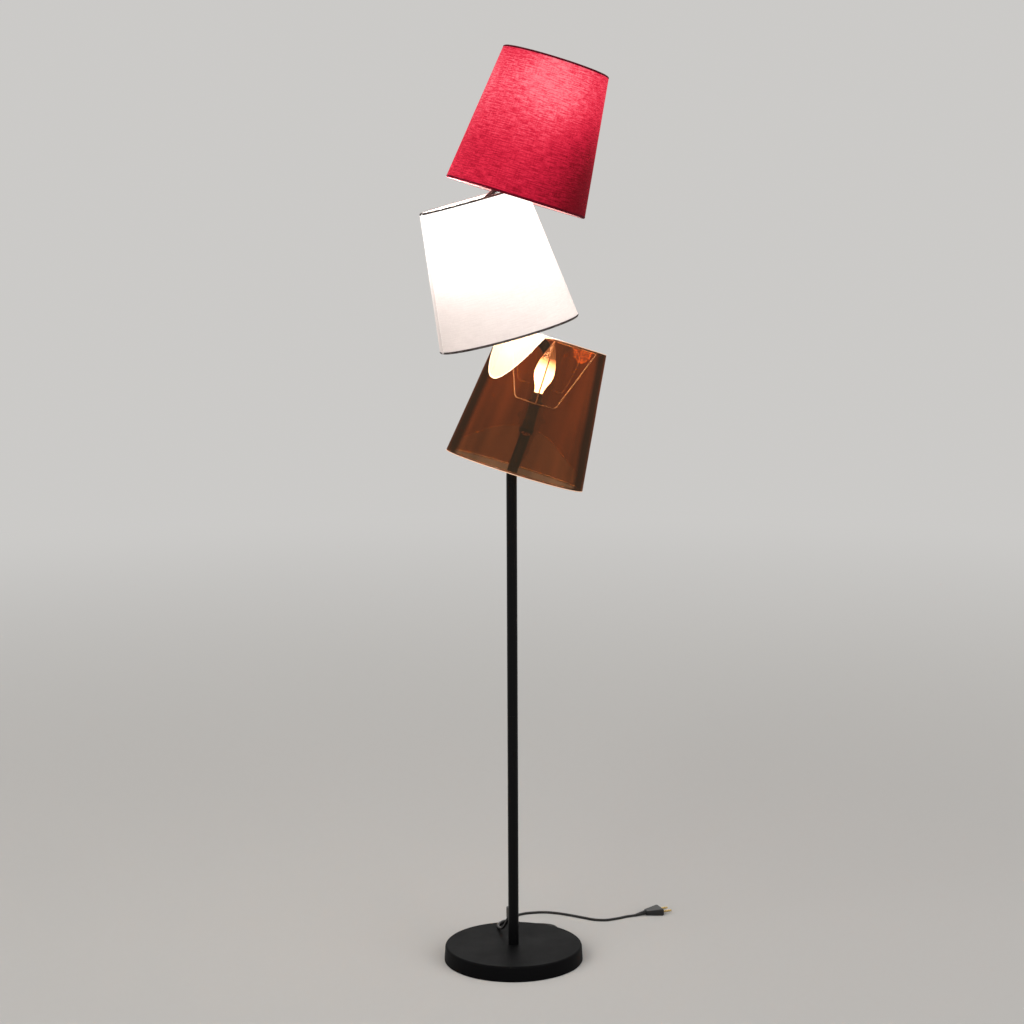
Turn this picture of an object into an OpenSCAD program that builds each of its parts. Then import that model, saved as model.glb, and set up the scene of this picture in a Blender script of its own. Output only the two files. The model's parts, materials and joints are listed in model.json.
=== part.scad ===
// Floor lamp with three tumbling shades. One bent stem carries three lampholders, and each
// lampholder carries a bulb, a wire carrier, a shade and the nut that clamps it.
// Millimetres, +Z up, origin under the middle of the base's pad. -Y is the front, +X the
// right-hand side seen from the front. The cord leaves the pole at the back.

/* [Base] */
// Diameter of the base cover at its top edge
base_d = 250; // [240:1:320]
// Height of the base cover's top face
base_h = 28; // [24:0.5:40]
// How much the cover widens from its top edge to its foot, per side
base_draft = 1.6; // [0:0.1:3]
// Radius of the cover's rounded top edge
base_edge_r = 4; // [2:0.5:8]
// Sheet thickness of the cover
cover_t = 1.5; // [0.8:0.1:2.5]
// Gap between the cover's foot and the floor
cover_lift = 1; // [0.5:0.1:2]
// Thickness of the felt pad
pad_t = 2.5; // [2:0.1:5]
// Thickness of the cast weight's disc
weight_t = 12; // [8:0.5:16]
// Diameter of the tie bolt
bolt_d = 10; // [8:0.5:12]

/* [Pole and stem] */
// Outer diameter of the pole and of the stem
pole_d = 19; // [15:0.5:24]
// Wall thickness of the pole and of the stem
tube_t = 1.4; // [1:0.1:2]
// Height of the stem's first bend
bend_z = 897; // [700:1:1100]
// Height of the seam between the pole's two lengths
seam_z = 455; // [300:1:600]
// Radius of the stem's bends, at the middle of the tube
bend_r = 34; // [30:1:40]
// How far below a shade's upper rim the stem turns away from the shade's axis
stem_leave = 22; // [20:1:44]
// Length of each plug and spigot inside a tube
spigot_l = 30; // [20:1:40]

/* [Shades] */
// Diameter of a shade at its lower rim
shade_d = 252; // [205:1:305]
// Diameter of a shade at its upper rim
shade_top_d = 190; // [155:1:230]
// Height of a shade along its own axis
shade_h = 242; // [200:1:292]
// Wall thickness of a shade
shade_t = 0.8; // [0.5:0.1:1.5]
// Wire diameter of the rings and of the carrier's arms
wire_d = 3; // [2:0.1:3.6]
// How far the fabric that is rolled round a ring stands proud of the wall
hem_proud = 0.6; // [0.2:0.1:1.2]
// Width of the strip where a shade's sheet overlaps itself
seam_w = 12; // [6:1:20]
// Radius at which the carrier's arms turn up
carrier_flat_r = 43; // [34:1:50]

/* [Arrangement of the lamps] */
// Sideways place of each shade's lower rim, lowest shade first
lamp_x = [5, -3, 9]; // [-20:1:20]
// Place of the shades' lower rims towards the front
lamp_y = -10; // [-16:1:0]
// Lean of each shade to the right
lean = [17.4, -15.1, 17.1]; // [-20:0.1:20]
// Lean of each shade to the back
lean_back = [3, -2.6, 0]; // [-5:0.1:5]
// Height of the lowest shade's rim above the stem's first bend
first_rise = 4; // [0:1:20]
// How much less than a shade's height each next shade stands higher
nesting = [1, 5]; // [0:1:10]

/* [Lampholders] */
// Diameter of a lampholder's body
holder_d = 21; // [20:0.5:24]
// Length of a lampholder's body
holder_l = 46; // [40:1:52]
// Height of a lampholder's lower end above the shade's lower rim
holder_s = 77; // [74:1:84]
// Diameter of the threaded sleeve that the nut screws onto
sleeve_d = 18.4; // [17.6:0.1:20]
// Length of the threaded sleeve
sleeve_l = 20; // [16:1:24]
// Diameter of the hollow nipple under a lampholder
nipple_d = 10; // [8:0.5:10]
// Clear gap between the bulb and the stem that passes behind it
stem_gap = 3; // [2:0.5:8]

/* [Bulbs] */
// Widest diameter of a bulb
bulb_d = 35; // [29:0.5:42]
// Length of a bulb's glass
bulb_l = 95; // [80:1:115]
// Diameter of a bulb's screw cap
cap_d = 13.8; // [13:0.1:14]

/* [Cord] */
// Diameter of the mains cord
cord_d = 5; // [4:0.1:5.2]
// Height of the cord gland's middle on the pole
gland_z = 84; // [70:1:120]
// Direction in which the cord leaves the pole, seen from above
gland_turn = 110; // [90:1:125]

/* [Hidden] */

$fn = 72;
LOWER = 0;
MIDDLE = 1;
UPPER = 2;
slip = 0.1;            // radial clearance of a piece that is pushed or screwed into another
face_gap = 0.05;       // clearance between faces that rest on each other

// Base
base_r = base_d / 2;
foot_r = base_r + base_draft;
weight_r = base_r - cover_t - base_edge_r;
boss_r = 24;           // the cast boss that the cover is clamped on
boss_top = base_h - cover_t - face_gap;
ribs = 6;              // on top of the weight's disc
rib_w = 6;
rib_h = 4;
rib_lap = 2;           // the ribs start this far inside the boss
rib_end = 8;           // and end this far inside the disc's edge
pocket_r = 16;         // the pocket under the weight for the washer and the bolt's head
washer_t = 2;
washer_play = 1;       // between the washer's edge and the pocket
head_h = 6.4;
head_r = bolt_d * 0.92;
head_room = 1;         // clear height between the bolt's head and the pad
pocket_top = pad_t + head_room + head_h + washer_t;
bolt_short = 6;        // how far the bolt ends below the top of the pole's foot

// Pole
pole_r = pole_d / 2;
bore_r = pole_r - tube_t;
plug_r = bore_r - slip;
wire_way_r = 4;        // the way for the cable through plugs and spigots
cable_r = 2.5;         // the sleeved wires that run up inside the pole
lead_r = 1.4;          // the pair of wires that branches off to one lampholder
lead_way_r = 2.2;
stem_start_z = bend_z - bend_r / 2;
foot_floor = 2;        // closed end of the pole foot's threaded hole
root_t = 3;            // the disc inside the stem's foot that its spigot is pressed into
cap_rim = 1.6;         // height of the stem cap's straight rim
cap_dome = 6;          // and of the dome above it
cap_inset = 0.6;       // the dome is smaller than the rim by this, all round
cap_plug_l = 8;

// Lamps: heights along a shade's own axis, measured from its lower rim
lamp_z = [
    bend_z + first_rise,
    bend_z + first_rise + shade_h - nesting[0],
    bend_z + first_rise + 2 * shade_h - nesting[0] - nesting[1]
];
stem_back = bulb_d / 2 + pole_r + stem_gap;     // the stem's place behind a lamp's axis
bracket_t = 6;
collar_h = 9;
collar_wall = 3;
split_w = 2;                                    // the clamp's split, at the back
arm_w = 12;                                     // width of the bracket's arm
arm_rim = 0.5;                                  // how far the arm's round end is wider than the holder
straight = 12;                                  // of the stem, below each clamp
join_s = holder_s - collar_h - straight;        // the stem runs along the shade from here
leave_s = shade_h - stem_leave;                 // and leaves towards the next one here
stem_over = 8;                                  // the stem's end stands above the highest clamp
stem_end_s = holder_s + stem_over;
nipple_out = 6;                                 // how far the nipple sticks out of the arm, each way
nipple_wall = 1.5;
nipple_hex_h = 4;
nipple_hex_r = nipple_d * 0.8;
cap_l = 19;                                     // the fluted cap of the lampholder
cap_step = 0.6;                                 // the body above it is smaller by this, all round
cap_chamfer = 1.5;
flute_r = 1;
flute_end = 2.5;                                // from the flutes' ends to the cap's
shoulder_t = 2;
seat_s = holder_s + holder_l;                   // the shoulder that the carrier lies on
hub_t = 1.6;
nut_h = 5;
nut_wall = 3.2;
nut_r = sleeve_d / 2 + nut_wall;
nut_flute_r = 0.9;
knurls = 18;
sleeve_chamfer = 0.8;
sleeve_top_s = seat_s + sleeve_l;
socket_gap = 0.3;                               // between the socket and the bulb's screw shell
socket_r = cap_d / 2 + socket_gap;
socket_depth = 31;
socket_s = sleeve_top_s - socket_depth;         // floor of the socket
contact_t = 1.2;
spring_h = 3;                                   // of the contact's sprung middle
spring_r = [3.4, 2.2];
cap_rise = 6;
cap_s = socket_s + cap_rise;                    // lower end of the bulb's screw shell
end_r = 2.2;                                    // the bulb's end contact
end_taper_h = 2;
end_taper_r = [3, 5.4];
glass_gap = 0.5;
glass_s = sleeve_top_s + glass_gap;             // the glass starts just clear of the sleeve
wire_r = wire_d / 2;
arm_r = wire_r * 0.8;                           // the carrier's arms are thinner than its ring
arm_bend = 9;
arm_angles = [30, 150, 270];
hub_r = nut_r + 1;
hem_r = wire_r + slip + shade_t + hem_proud;
notch_gap = 0.4;                                // round an arm, where the hem is notched for it
seam_proud = 0.35;                              // how far the overlap stands proud of the wall
seam_turn = [90, 196, 80];                      // where each shade's overlap ends

function unit(v) = v / norm(v);
function blend(t) = t * t * (3 - 2 * t);
function clamp01(t) = min(1, max(0, t));

// A frame whose z axis lies along a direction, as a matrix for multmatrix
function frame_of(origin, x, y, z) = [
    [x[0], y[0], z[0], origin[0]],
    [x[1], y[1], z[1], origin[1]],
    [x[2], y[2], z[2], origin[2]],
    [0, 0, 0, 1]
];
function across(z) = unit(abs(z[2]) > 0.9 ? cross([0, 1, 0], z) : cross([0, 0, 1], z));

// A point given in a lamp's own frame: x right, y back, z along the shade's axis
function at_lamp(i, p) =
    let (x = p[0] * cos(lean[i]) + p[2] * sin(lean[i]),
         z = -p[0] * sin(lean[i]) + p[2] * cos(lean[i]))
    [lamp_x[i] + x,
     lamp_y + p[1] * cos(lean_back[i]) + z * sin(lean_back[i]),
     lamp_z[i] - p[1] * sin(lean_back[i]) + z * cos(lean_back[i])];

module lamp_frame(i)
    translate([lamp_x[i], lamp_y, lamp_z[i]]) rotate([-lean_back[i], 0, 0]) rotate([0, lean[i], 0])
        children();

// ---------------------------------------------------------------- bent round bars and tubes
module rod(a, b, r) {
    z = unit(b - a);
    x = across(z);
    multmatrix(frame_of(a, x, cross(z, x), z)) cylinder(h = norm(b - a), r = r);
}

function turn_angle(a, p, b) = acos(min(1, unit(p - a) * unit(b - p)));
function setback(a, p, b, bend) = bend * tan(turn_angle(a, p, b) / 2);

module elbow(a, p, b, r, bend) {
    before = unit(p - a);
    after = unit(b - p);
    inward = unit(after - before * (before * after));
    centre = p - before * setback(a, p, b, bend) + inward * bend;
    multmatrix(frame_of(centre, -inward, before, cross(-inward, before)))
        rotate_extrude(angle = turn_angle(a, p, b)) translate([bend, 0]) circle(r = r + bend_swell);
}

// A round bar through the points, with its corners bent to one radius. A bend swells by a
// hair, and the straight lengths reach a little way into it.
bend_swell = 0.03;
bend_lap = 0.3;
module bent_bar(points, r, bend) {
    last = len(points) - 1;
    for (k = [0:last - 1]) {
        a = points[k];
        b = points[k + 1];
        from = k == 0 ? 0 : setback(points[k - 1], a, b, bend) - bend_lap;
        to = k + 1 == last ? 0 : setback(a, b, points[k + 2], bend) - bend_lap;
        rod(a + unit(b - a) * from, b - unit(b - a) * to, r);
    }
    for (k = [1:last - 1]) elbow(points[k - 1], points[k], points[k + 1], r, bend);
}

module tube(h, r, inner) difference() {
    cylinder(h = h, r = r);
    translate([0, 0, -1]) cylinder(h = h + 2, r = inner);
}

module torus(ring, r) rotate_extrude() translate([ring, 0]) circle(r = r, $fn = 32);

// ---------------------------------------------------------------- base
module base_cover() color("#121214") rotate_extrude() difference() {
    cover_outline(0);
    cover_outline(cover_t);
    square([bolt_d / 2 + slip, base_h + 1]);
}

// Half of the cover's outline, shrunk by a wall
module cover_outline(wall) {
    foot = wall > 0 ? cover_lift - 1 : cover_lift;
    edge = base_edge_r - wall;
    corner = [base_r - base_edge_r, base_h - base_edge_r];
    steps = 8;
    polygon(concat(
        [[0, foot], [foot_r - wall, foot]],
        [for (k = [0:steps]) corner + edge * [cos(90 * k / steps), sin(90 * k / steps)]],
        [[0, base_h - wall]]
    ));
}

module base_weight() color("#3a3a3c") difference() {
    union() {
        translate([0, 0, pad_t + face_gap]) cylinder(h = weight_t, r = weight_r);
        translate([0, 0, pad_t + face_gap]) cylinder(h = boss_top - pad_t - face_gap, r = boss_r);
        for (k = [0:ribs - 1]) rotate(360 * k / ribs)
            translate([boss_r - rib_lap, -rib_w / 2, pad_t + weight_t - 1])
                cube([weight_r - rib_end - boss_r, rib_w, rib_h + 1]);
    }
    translate([0, 0, -1]) cylinder(h = base_h + 2, r = bolt_d / 2 + slip);
    translate([0, 0, -1]) cylinder(h = pocket_top + 1, r = pocket_r);
}

module base_pad() color("#2b2b2b") cylinder(h = pad_t, r = weight_r);

module base_bolt() color("#9a9a9e") {
    under = pocket_top - washer_t - 2 * face_gap;
    translate([0, 0, under - head_h]) cylinder(h = head_h, r = head_r, $fn = 6);
    translate([0, 0, under - 1])
        cylinder(h = base_h + spigot_l - bolt_short - under + 1, r = bolt_d / 2);
}

module base_washer() color("#b0b0b4") translate([0, 0, pocket_top - washer_t - face_gap])
    tube(washer_t, pocket_r - washer_play, bolt_d / 2 + slip);

// ---------------------------------------------------------------- pole
module pole_foot() color("#8c8c90") translate([0, 0, base_h + face_gap]) difference() {
    cylinder(h = spigot_l, r = plug_r);
    translate([0, 0, -1]) cylinder(h = spigot_l - foot_floor + 1, r = bolt_d / 2 + face_gap);
}

module pole_lower() color("#0d0d0f") difference() {
    translate([0, 0, base_h + face_gap]) tube(seam_z - base_h - face_gap, pole_r, bore_r);
    translate([0, 0, gland_z]) rotate(gland_turn) rotate([0, 90, 0])
        cylinder(h = pole_d, r = wire_way_r + slip);
}

module pole_coupler() color("#8c8c90") translate([0, 0, seam_z - spigot_l])
    tube(2 * spigot_l, plug_r, wire_way_r);

module pole_upper() color("#0d0d0f") translate([0, 0, seam_z + face_gap])
    tube(stem_start_z - seam_z - 2 * face_gap, pole_r, bore_r);

// ---------------------------------------------------------------- stem
stem_points = [
    [0, 0, stem_start_z],
    [0, 0, bend_z],
    at_lamp(LOWER, [0, stem_back, join_s]),
    at_lamp(LOWER, [0, stem_back, leave_s]),
    at_lamp(MIDDLE, [0, stem_back, join_s]),
    at_lamp(MIDDLE, [0, stem_back, leave_s]),
    at_lamp(UPPER, [0, stem_back, join_s]),
    at_lamp(UPPER, [0, stem_back, stem_end_s])
];

module stem() color("#0d0d0f") {
    difference() {
        bent_bar(stem_points, pole_r, bend_r);
        bent_bar(concat([stem_points[0] - [0, 0, 1]], [for (k = [1:6]) stem_points[k]],
            [at_lamp(UPPER, [0, stem_back, stem_end_s + 1])]), bore_r, bend_r);
        for (i = [LOWER, MIDDLE, UPPER])
            rod(at_lamp(i, [0, stem_back, arm_s]), at_lamp(i, [0, stem_back - pole_d, arm_s]), lead_way_r);
    }
    translate([0, 0, stem_start_z - spigot_l]) tube(spigot_l + root_t - 1, plug_r, wire_way_r);
    translate([0, 0, stem_start_z]) tube(root_t, pole_r - tube_t / 2, wire_way_r);
}

module stem_cap() color("#0d0d0f") lamp_frame(UPPER) translate([0, stem_back, stem_end_s]) {
    dome_r = pole_d * 1.25;
    translate([0, 0, face_gap]) cylinder(h = cap_rim, r = pole_r);
    translate([0, 0, face_gap + cap_rim]) intersection() {
        translate([0, 0, cap_dome - dome_r]) sphere(r = dome_r);
        cylinder(h = cap_dome, r = pole_r - cap_inset);
    }
    translate([0, 0, -cap_plug_l]) cylinder(h = cap_plug_l + 1, r = plug_r);
}

// The sleeved wires: in through the pole's side, up the pole and along the stem
module inner_cable() color("#2a2a2c") {
    entry = [0, 0, gland_z];
    upright = [0, 0, gland_z + 4 * cable_r];
    bent_bar([entry + gland_out * (pole_r - 0.5), entry, upright], cable_r, cable_r + 3);
    bent_bar(concat([upright - [0, 0, 1]], [for (k = [1:6]) stem_points[k]],
        [at_lamp(UPPER, [0, stem_back, arm_s + 2 * lead_r])]), cable_r, bend_r);
}

// ---------------------------------------------------------------- lampholders
bracket_top = holder_s - face_gap;
arm_s = bracket_top - bracket_t / 2;

// The way for a lampholder's wires, from its axis back towards the stem
module lead_way(reach) translate([0, 0, arm_s]) rotate([-90, 0, 0]) cylinder(h = reach, r = lead_way_r);

module bracket(i) color("#0d0d0f") lamp_frame(i) difference() {
    union() {
        translate([0, stem_back, bracket_top - collar_h])
            cylinder(h = collar_h, r = pole_r + collar_wall);
        translate([0, 0, bracket_top - bracket_t]) cylinder(h = bracket_t, r = holder_d / 2 + arm_rim);
        translate([-arm_w / 2, 0, bracket_top - bracket_t]) cube([arm_w, stem_back, bracket_t]);
    }
    translate([0, stem_back, bracket_top - collar_h - 1]) cylinder(h = collar_h + 2, r = pole_r + face_gap);
    translate([0, 0, bracket_top - bracket_t - 1]) cylinder(h = bracket_t + 2, r = nipple_d / 2 + face_gap);
    lead_way(stem_back);
    translate([-split_w / 2, stem_back, bracket_top - collar_h - 1])
        cube([split_w, pole_r + collar_wall + 1, collar_h + 2]);
}

module nipple(i) color("#c8a24a") lamp_frame(i) difference() {
    union() {
        translate([0, 0, holder_s - bracket_t - nipple_out])
            cylinder(h = bracket_t + 2 * nipple_out, r = nipple_d / 2);
        translate([0, 0, holder_s - bracket_t - nipple_hex_h - 2 * face_gap])
            cylinder(h = nipple_hex_h, r = nipple_hex_r, $fn = 6);
    }
    translate([0, 0, holder_s - bracket_t - nipple_out - 1])
        cylinder(h = bracket_t + 2 * nipple_out + 2, r = nipple_d / 2 - nipple_wall);
    lead_way(nipple_d);
}

// The two wires of one lampholder, sleeved together: from the stem up to the contact
module lead(i) color("#2a2a2c") lamp_frame(i) bent_bar([
    [0, stem_back - cable_r - face_gap, arm_s],
    [0, 0, arm_s],
    [0, 0, socket_s - face_gap]
], lead_r, 2 * lead_r);

module holder(i) color("#18181a") lamp_frame(i) difference() {
    rotate_extrude() polygon([
        [0, holder_s],
        [holder_d / 2 - cap_chamfer, holder_s],
        [holder_d / 2, holder_s + cap_chamfer],
        [holder_d / 2, holder_s + cap_l],
        [holder_d / 2 - cap_step, holder_s + cap_l + cap_step],
        [holder_d / 2 - cap_step, seat_s - shoulder_t - cap_chamfer],
        [nut_r - cap_step, seat_s - shoulder_t],
        [nut_r - cap_step, seat_s],
        [sleeve_d / 2, seat_s],
        [sleeve_d / 2, sleeve_top_s - sleeve_chamfer],
        [sleeve_d / 2 - sleeve_chamfer, sleeve_top_s],
        [0, sleeve_top_s]
    ]);
    translate([0, 0, socket_s]) cylinder(h = sleeve_l + holder_l, r = socket_r);
    translate([0, 0, holder_s - 1]) cylinder(h = nipple_out + 2, r = nipple_d / 2 + face_gap);
    translate([0, 0, holder_s]) cylinder(h = socket_s - holder_s + 1, r = lead_way_r);
    // the cap's grip flutes
    for (k = [0:knurls - 1]) rotate(360 * k / knurls)
        translate([(holder_d + flute_r) / 2, 0, holder_s + flute_end])
            cylinder(h = cap_l - 2 * flute_end, r = flute_r, $fn = 24);
}

module contact(i) color("#c8a24a") lamp_frame(i) {
    translate([0, 0, socket_s + face_gap]) cylinder(h = contact_t, r = socket_r - slip);
    translate([0, 0, socket_s + 1]) cylinder(h = spring_h - 1, r1 = spring_r[0], r2 = spring_r[1]);
}

module ring_nut(i) color("#18181a") lamp_frame(i) translate([0, 0, seat_s + hub_t + 4 * face_gap])
    difference() {
        cylinder(h = nut_h, r = nut_r);
        translate([0, 0, -1]) cylinder(h = nut_h + 2, r = sleeve_d / 2 + slip);
        for (k = [0:knurls - 1]) rotate(360 * k / knurls)
            translate([nut_r + nut_flute_r / 3, 0, -1]) cylinder(h = nut_h + 2, r = nut_flute_r, $fn = 24);
    }

// ---------------------------------------------------------------- shades
cone = atan((shade_d - shade_top_d) / 2 / shade_h);
function wall_r(s) = (shade_d - (shade_d - shade_top_d) * s / shade_h) / 2;

// Radius and height of a ring's wire, which lies against the inside of the wall
function ring_at(top) =
    let (s = top ? shade_h - wire_r : wire_r)
    [wall_r(s) - (shade_t + wire_r + face_gap) / cos(cone), s];

// Along the carrier's arm at one angle: out over the nut's seat, then up to the top ring
arm_low_s = seat_s + 2 * face_gap + hub_t / 2;
function arm_end() =
    let (low = [carrier_flat_r, arm_low_s], ring = ring_at(true), way = unit(ring - low))
    ring - way * (wire_r + face_gap);
function arm_points(angle) =
    let (out = [cos(angle), sin(angle)], end = arm_end())
    [
        concat(nut_r * out, [arm_low_s]),
        concat(carrier_flat_r * out, [arm_low_s]),
        concat(end[0] * out, [end[1]])
    ];

module carrier(i) color("#e9e6df") lamp_frame(i) {
    translate([0, 0, seat_s + 2 * face_gap]) tube(hub_t, hub_r, sleeve_d / 2 + slip);
    for (angle = arm_angles) bent_bar(arm_points(angle), arm_r, arm_bend);
}

module rim_ring(i, ring) color("#e9e6df") lamp_frame(i) translate([0, 0, ring[1]]) torus(ring[0], wire_r);
module top_ring(i) rim_ring(i, ring_at(true));
module bottom_ring(i) rim_ring(i, ring_at(false));

// The fabric that is rolled round a wire ring, open towards the inside
module hem(ring) translate([0, 0, ring[1]]) difference() {
    torus(ring[0], hem_r);
    torus(ring[0], wire_r + slip);
    translate([0, 0, -hem_r - 1]) cylinder(h = 2 * hem_r + 2, r = ring[0] - wire_r / 2);
}

module wall(angle, proud) rotate_extrude(angle = angle) polygon([
    [shade_d / 2 + proud, 0],
    [shade_top_d / 2 + proud, shade_h],
    [shade_top_d / 2 - shade_t, shade_h],
    [shade_d / 2 - shade_t, 0]
]);

module shade(i, paint, hemmed) color(paint) lamp_frame(i) difference() {
    union() {
        wall(360, 0);
        rotate(seam_turn[i]) wall(360 * seam_w / (PI * shade_d), seam_proud);
        if (hemmed) {
            hem(ring_at(true));
            hem(ring_at(false));
        }
    }
    // the hem is notched where an arm meets the ring
    for (angle = arm_angles) {
        arm = arm_points(angle);
        if (hemmed) rod(arm[1], arm[2] + unit(arm[2] - arm[1]) * notch_gap, arm_r + notch_gap);
    }
}

// ---------------------------------------------------------------- bulbs
bulb_steps = 22;
belly = 0.36;          // how far up the glass its widest place lies
flame = [1.9, 1.1];    // how round the belly is, and how drawn out the tip
glass_t = 0.9;
neck_r = 7.4;
tip_r = 0.2;           // of the hollow, where it closes under the tip
function bulb_outline(t) = t < belly
    ? neck_r + (bulb_d / 2 - neck_r) * blend(t / belly)
    : bulb_d / 2 * pow(max(0, 1 - pow((t - belly) / (1 - belly), flame[0])), flame[1]);

module bulb_cap(i) color("#c9c9cc") lamp_frame(i) {
    translate([0, 0, cap_s]) cylinder(h = glass_s - cap_s - face_gap, r = cap_d / 2);
    translate([0, 0, cap_s - end_taper_h])
        cylinder(h = end_taper_h, r1 = end_taper_r[0], r2 = end_taper_r[1]);
    translate([0, 0, socket_s + spring_h + face_gap]) cylinder(h = cap_rise - spring_h, r = end_r);
}

module bulb_glass(i) color("#fff3d8", 0.5) lamp_frame(i) translate([0, 0, glass_s])
    rotate_extrude() polygon(concat(
        [for (k = [0:bulb_steps]) [bulb_outline(k / bulb_steps), bulb_l * k / bulb_steps]],
        [for (k = [bulb_steps - 2:-1:0])
            [max(tip_r, bulb_outline(k / bulb_steps) - glass_t), bulb_l * k / bulb_steps]]
    ));

filament_r = 4.2;      // of the circle that the four sticks stand on
filament_l = 34;
pinch_h = 18;          // the glass pinch that carries them
pinch_r = [5, 2];
post_r = 0.5;
stick_r = 0.9;
support_r = 0.4;
module filament(i) color("#ffd489") lamp_frame(i) translate([0, 0, glass_s]) {
    top = pinch_h + filament_l;
    translate([0, 0, face_gap]) cylinder(h = pinch_h, r1 = pinch_r[0], r2 = pinch_r[1]);
    cylinder(h = top, r = post_r, $fn = 24);
    for (k = [0:3]) rotate(90 * k + 45) {
        rod([0, 0, pinch_h - 1], [filament_r, 0, pinch_h + 1], support_r);
        rod([filament_r, 0, pinch_h + support_r], [filament_r, 0, top - 1], stick_r);
        rod([filament_r, 0, top - 1 - support_r], [0, 0, top - support_r], support_r);
    }
}

// ---------------------------------------------------------------- cord
cord_r = cord_d / 2;
gland_out = [cos(gland_turn), sin(gland_turn), 0];
gland_depth = 9;
gland_w = 16;
gland_h = 19;
gland_corner = 3;
sleeve_way = (gland_out - [0, 0, 1]) / sqrt(2);
sleeve_x = across(sleeve_way);
sleeve_drop = 4;       // the strain relief starts this far below the box's middle
sleeve_from = gland_out * (pole_r + gland_depth / 2) + [0, 0, gland_z - sleeve_drop];
relief_l = 26;         // length of the strain relief along the cord
relief_r = 4.6;
relief_wall = 0.7;     // its wall round the cord, at its thin end
plain_l = 9;           // its length inside the box, without grooves
grooves = 4;
groove_pitch = 3.6;

function rounded_box(x0, x1, y0, y1, r) = [
    for (corner = [[x1 - r, y1 - r, 0], [x0 + r, y1 - r, 90], [x0 + r, y0 + r, 180], [x1 - r, y0 + r, 270]],
        k = [0:4]) [corner[0] + r * cos(corner[2] + 22.5 * k), corner[1] + r * sin(corner[2] + 22.5 * k)]
];

// The strain relief's half outline: a tapered sleeve with flexing grooves
relief_end_r = cord_r + relief_wall;
relief_outline = concat(
    [[0, 0], [relief_r, 0], [relief_r, plain_l]],
    [for (k = [0:grooves - 1], c = [[0, 0], [1, 0.6], [1, 1.8], [0, 2.4]])
        let (z = groove_pitch * k + c[1], taper = (relief_r - relief_end_r) / (relief_l - plain_l))
        [relief_r - taper * z - c[0], plain_l + z]],
    [[relief_end_r, relief_l], [0, relief_l]]
);

module cord_gland() color("#101012") difference() {
    union() {
        translate([0, 0, gland_z - gland_h / 2]) rotate(gland_turn) linear_extrude(gland_h)
            polygon(rounded_box(pole_r - 5, pole_r + gland_depth, -gland_w / 2, gland_w / 2, gland_corner));
        multmatrix(frame_of(sleeve_from, sleeve_x, cross(sleeve_way, sleeve_x), sleeve_way))
            rotate_extrude() polygon(relief_outline);
    }
    translate([0, 0, gland_z - gland_h]) cylinder(h = 2 * gland_h, r = pole_r + face_gap);
}

function spline(p, a, b, c, d) = 0.5 * (2 * b + (c - a) * p + (2 * a - 5 * b + 4 * c - d) * p * p
    + (3 * b - a - 3 * c + d) * p * p * p);
function smooth(route, n) =
    let (last = len(route) - 1)
    concat([for (k = [0:last - 1], j = [0:n - 1])
        spline(j / n, k == 0 ? 2 * route[0] - route[1] : route[k - 1], route[k], route[k + 1],
            k == last - 1 ? 2 * route[last] - route[last - 1] : route[k + 2])], [route[last]]);

// The hank: loops in two layers, bent round behind the base and drawn in at the waist. The
// cord comes in along the upper layer, winds inwards, climbs down and winds out again.
step = cord_d + 1;            // between neighbouring turns
layer_step = cord_d + 0.6;    // between the two layers
fold_r = 16;                  // radius of the innermost fold
run_l = 100;                  // straight run between the folds' centres
hank_ring_r = foot_r + cord_r + fold_r + step + 1;      // radius of the arc that the hank lies along
hank_turn = 4;                // where its waist lies, degrees right of straight behind
floor_gap = 0.1;
tie_t = 1;
tie_gap = 0.6;
tie_w = 8;
loops_from = 0.32;
loops_to = 3.5;
run_share = 0.32;             // share of a loop that a run takes; a fold takes the rest of a half

// A move from 0 to 1 along the run that starts at a number of loops, between two shares of it
function move(t, run, from, to) = blend(clamp01(((t - run) / run_share - from) / (to - from)));
// Which turn across (0 inner, 1 outer) and which layer (0 lower, 1 upper) at t loops
function turn_at(t) = 1 - move(t, 0.5, 0.55, 1) + move(t, 2.5, 0, 0.45);
function layer_at(t) = 1 - move(t, 1.5, 0.3, 0.7);

function hank_flat(t) =
    let (f = t - floor(t), k = turn_at(t), r = fold_r + k * step, waist = (k + 0.5) * step,
         half = f < 0.5 ? f : f - 0.5, side = f < 0.5 ? -1 : 1,
         along = run_l * (half / run_share - 0.5),
         pull = (1 - cos(360 * (half / run_share))) / 2,
         swing = 180 * (half - run_share) / (0.5 - run_share))
    half < run_share
        ? [-side * along, side * (r - (r - waist) * pull), (tie_t + tie_gap - floor_gap) * pull]
        : [-side * (run_l / 2 + r * sin(swing)), side * r * cos(swing), 0];
function hank_point(t) =
    let (p = hank_flat(t), turn = hank_turn + p[0] / hank_ring_r * 180 / PI, reach = hank_ring_r + p[1])
    [reach * sin(turn), reach * cos(turn), cord_r + floor_gap + layer_at(t) * layer_step + p[2]];
function hank_route(n) = [for (k = [0:n]) hank_point(loops_from + (loops_to - loops_from) * k / n)];

// Route of the cord from the gland: down to the base, over its rear edge and down beside it
start_route = [
    [-11.1, 30.4, 61.6], [-13.5, 37.5, 54.5], [-17, 48, 45], [-21, 60, 37], [-25, 73, 32.5], [-28, 86, 30.7],
    [-28.5, 96.5, 30.7], [-26, 106.5, 30.7], [-20.5, 115.2, 30.7], [-12, 122, 30.6], [-2, 126.3, 28.9],
    [8.5, 128.3, 24.6], [19, 128.7, 18.8], [29.5, 127.5, 13.4], [40, 124.8, 9.8], hank_point(loops_from)
];
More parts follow.
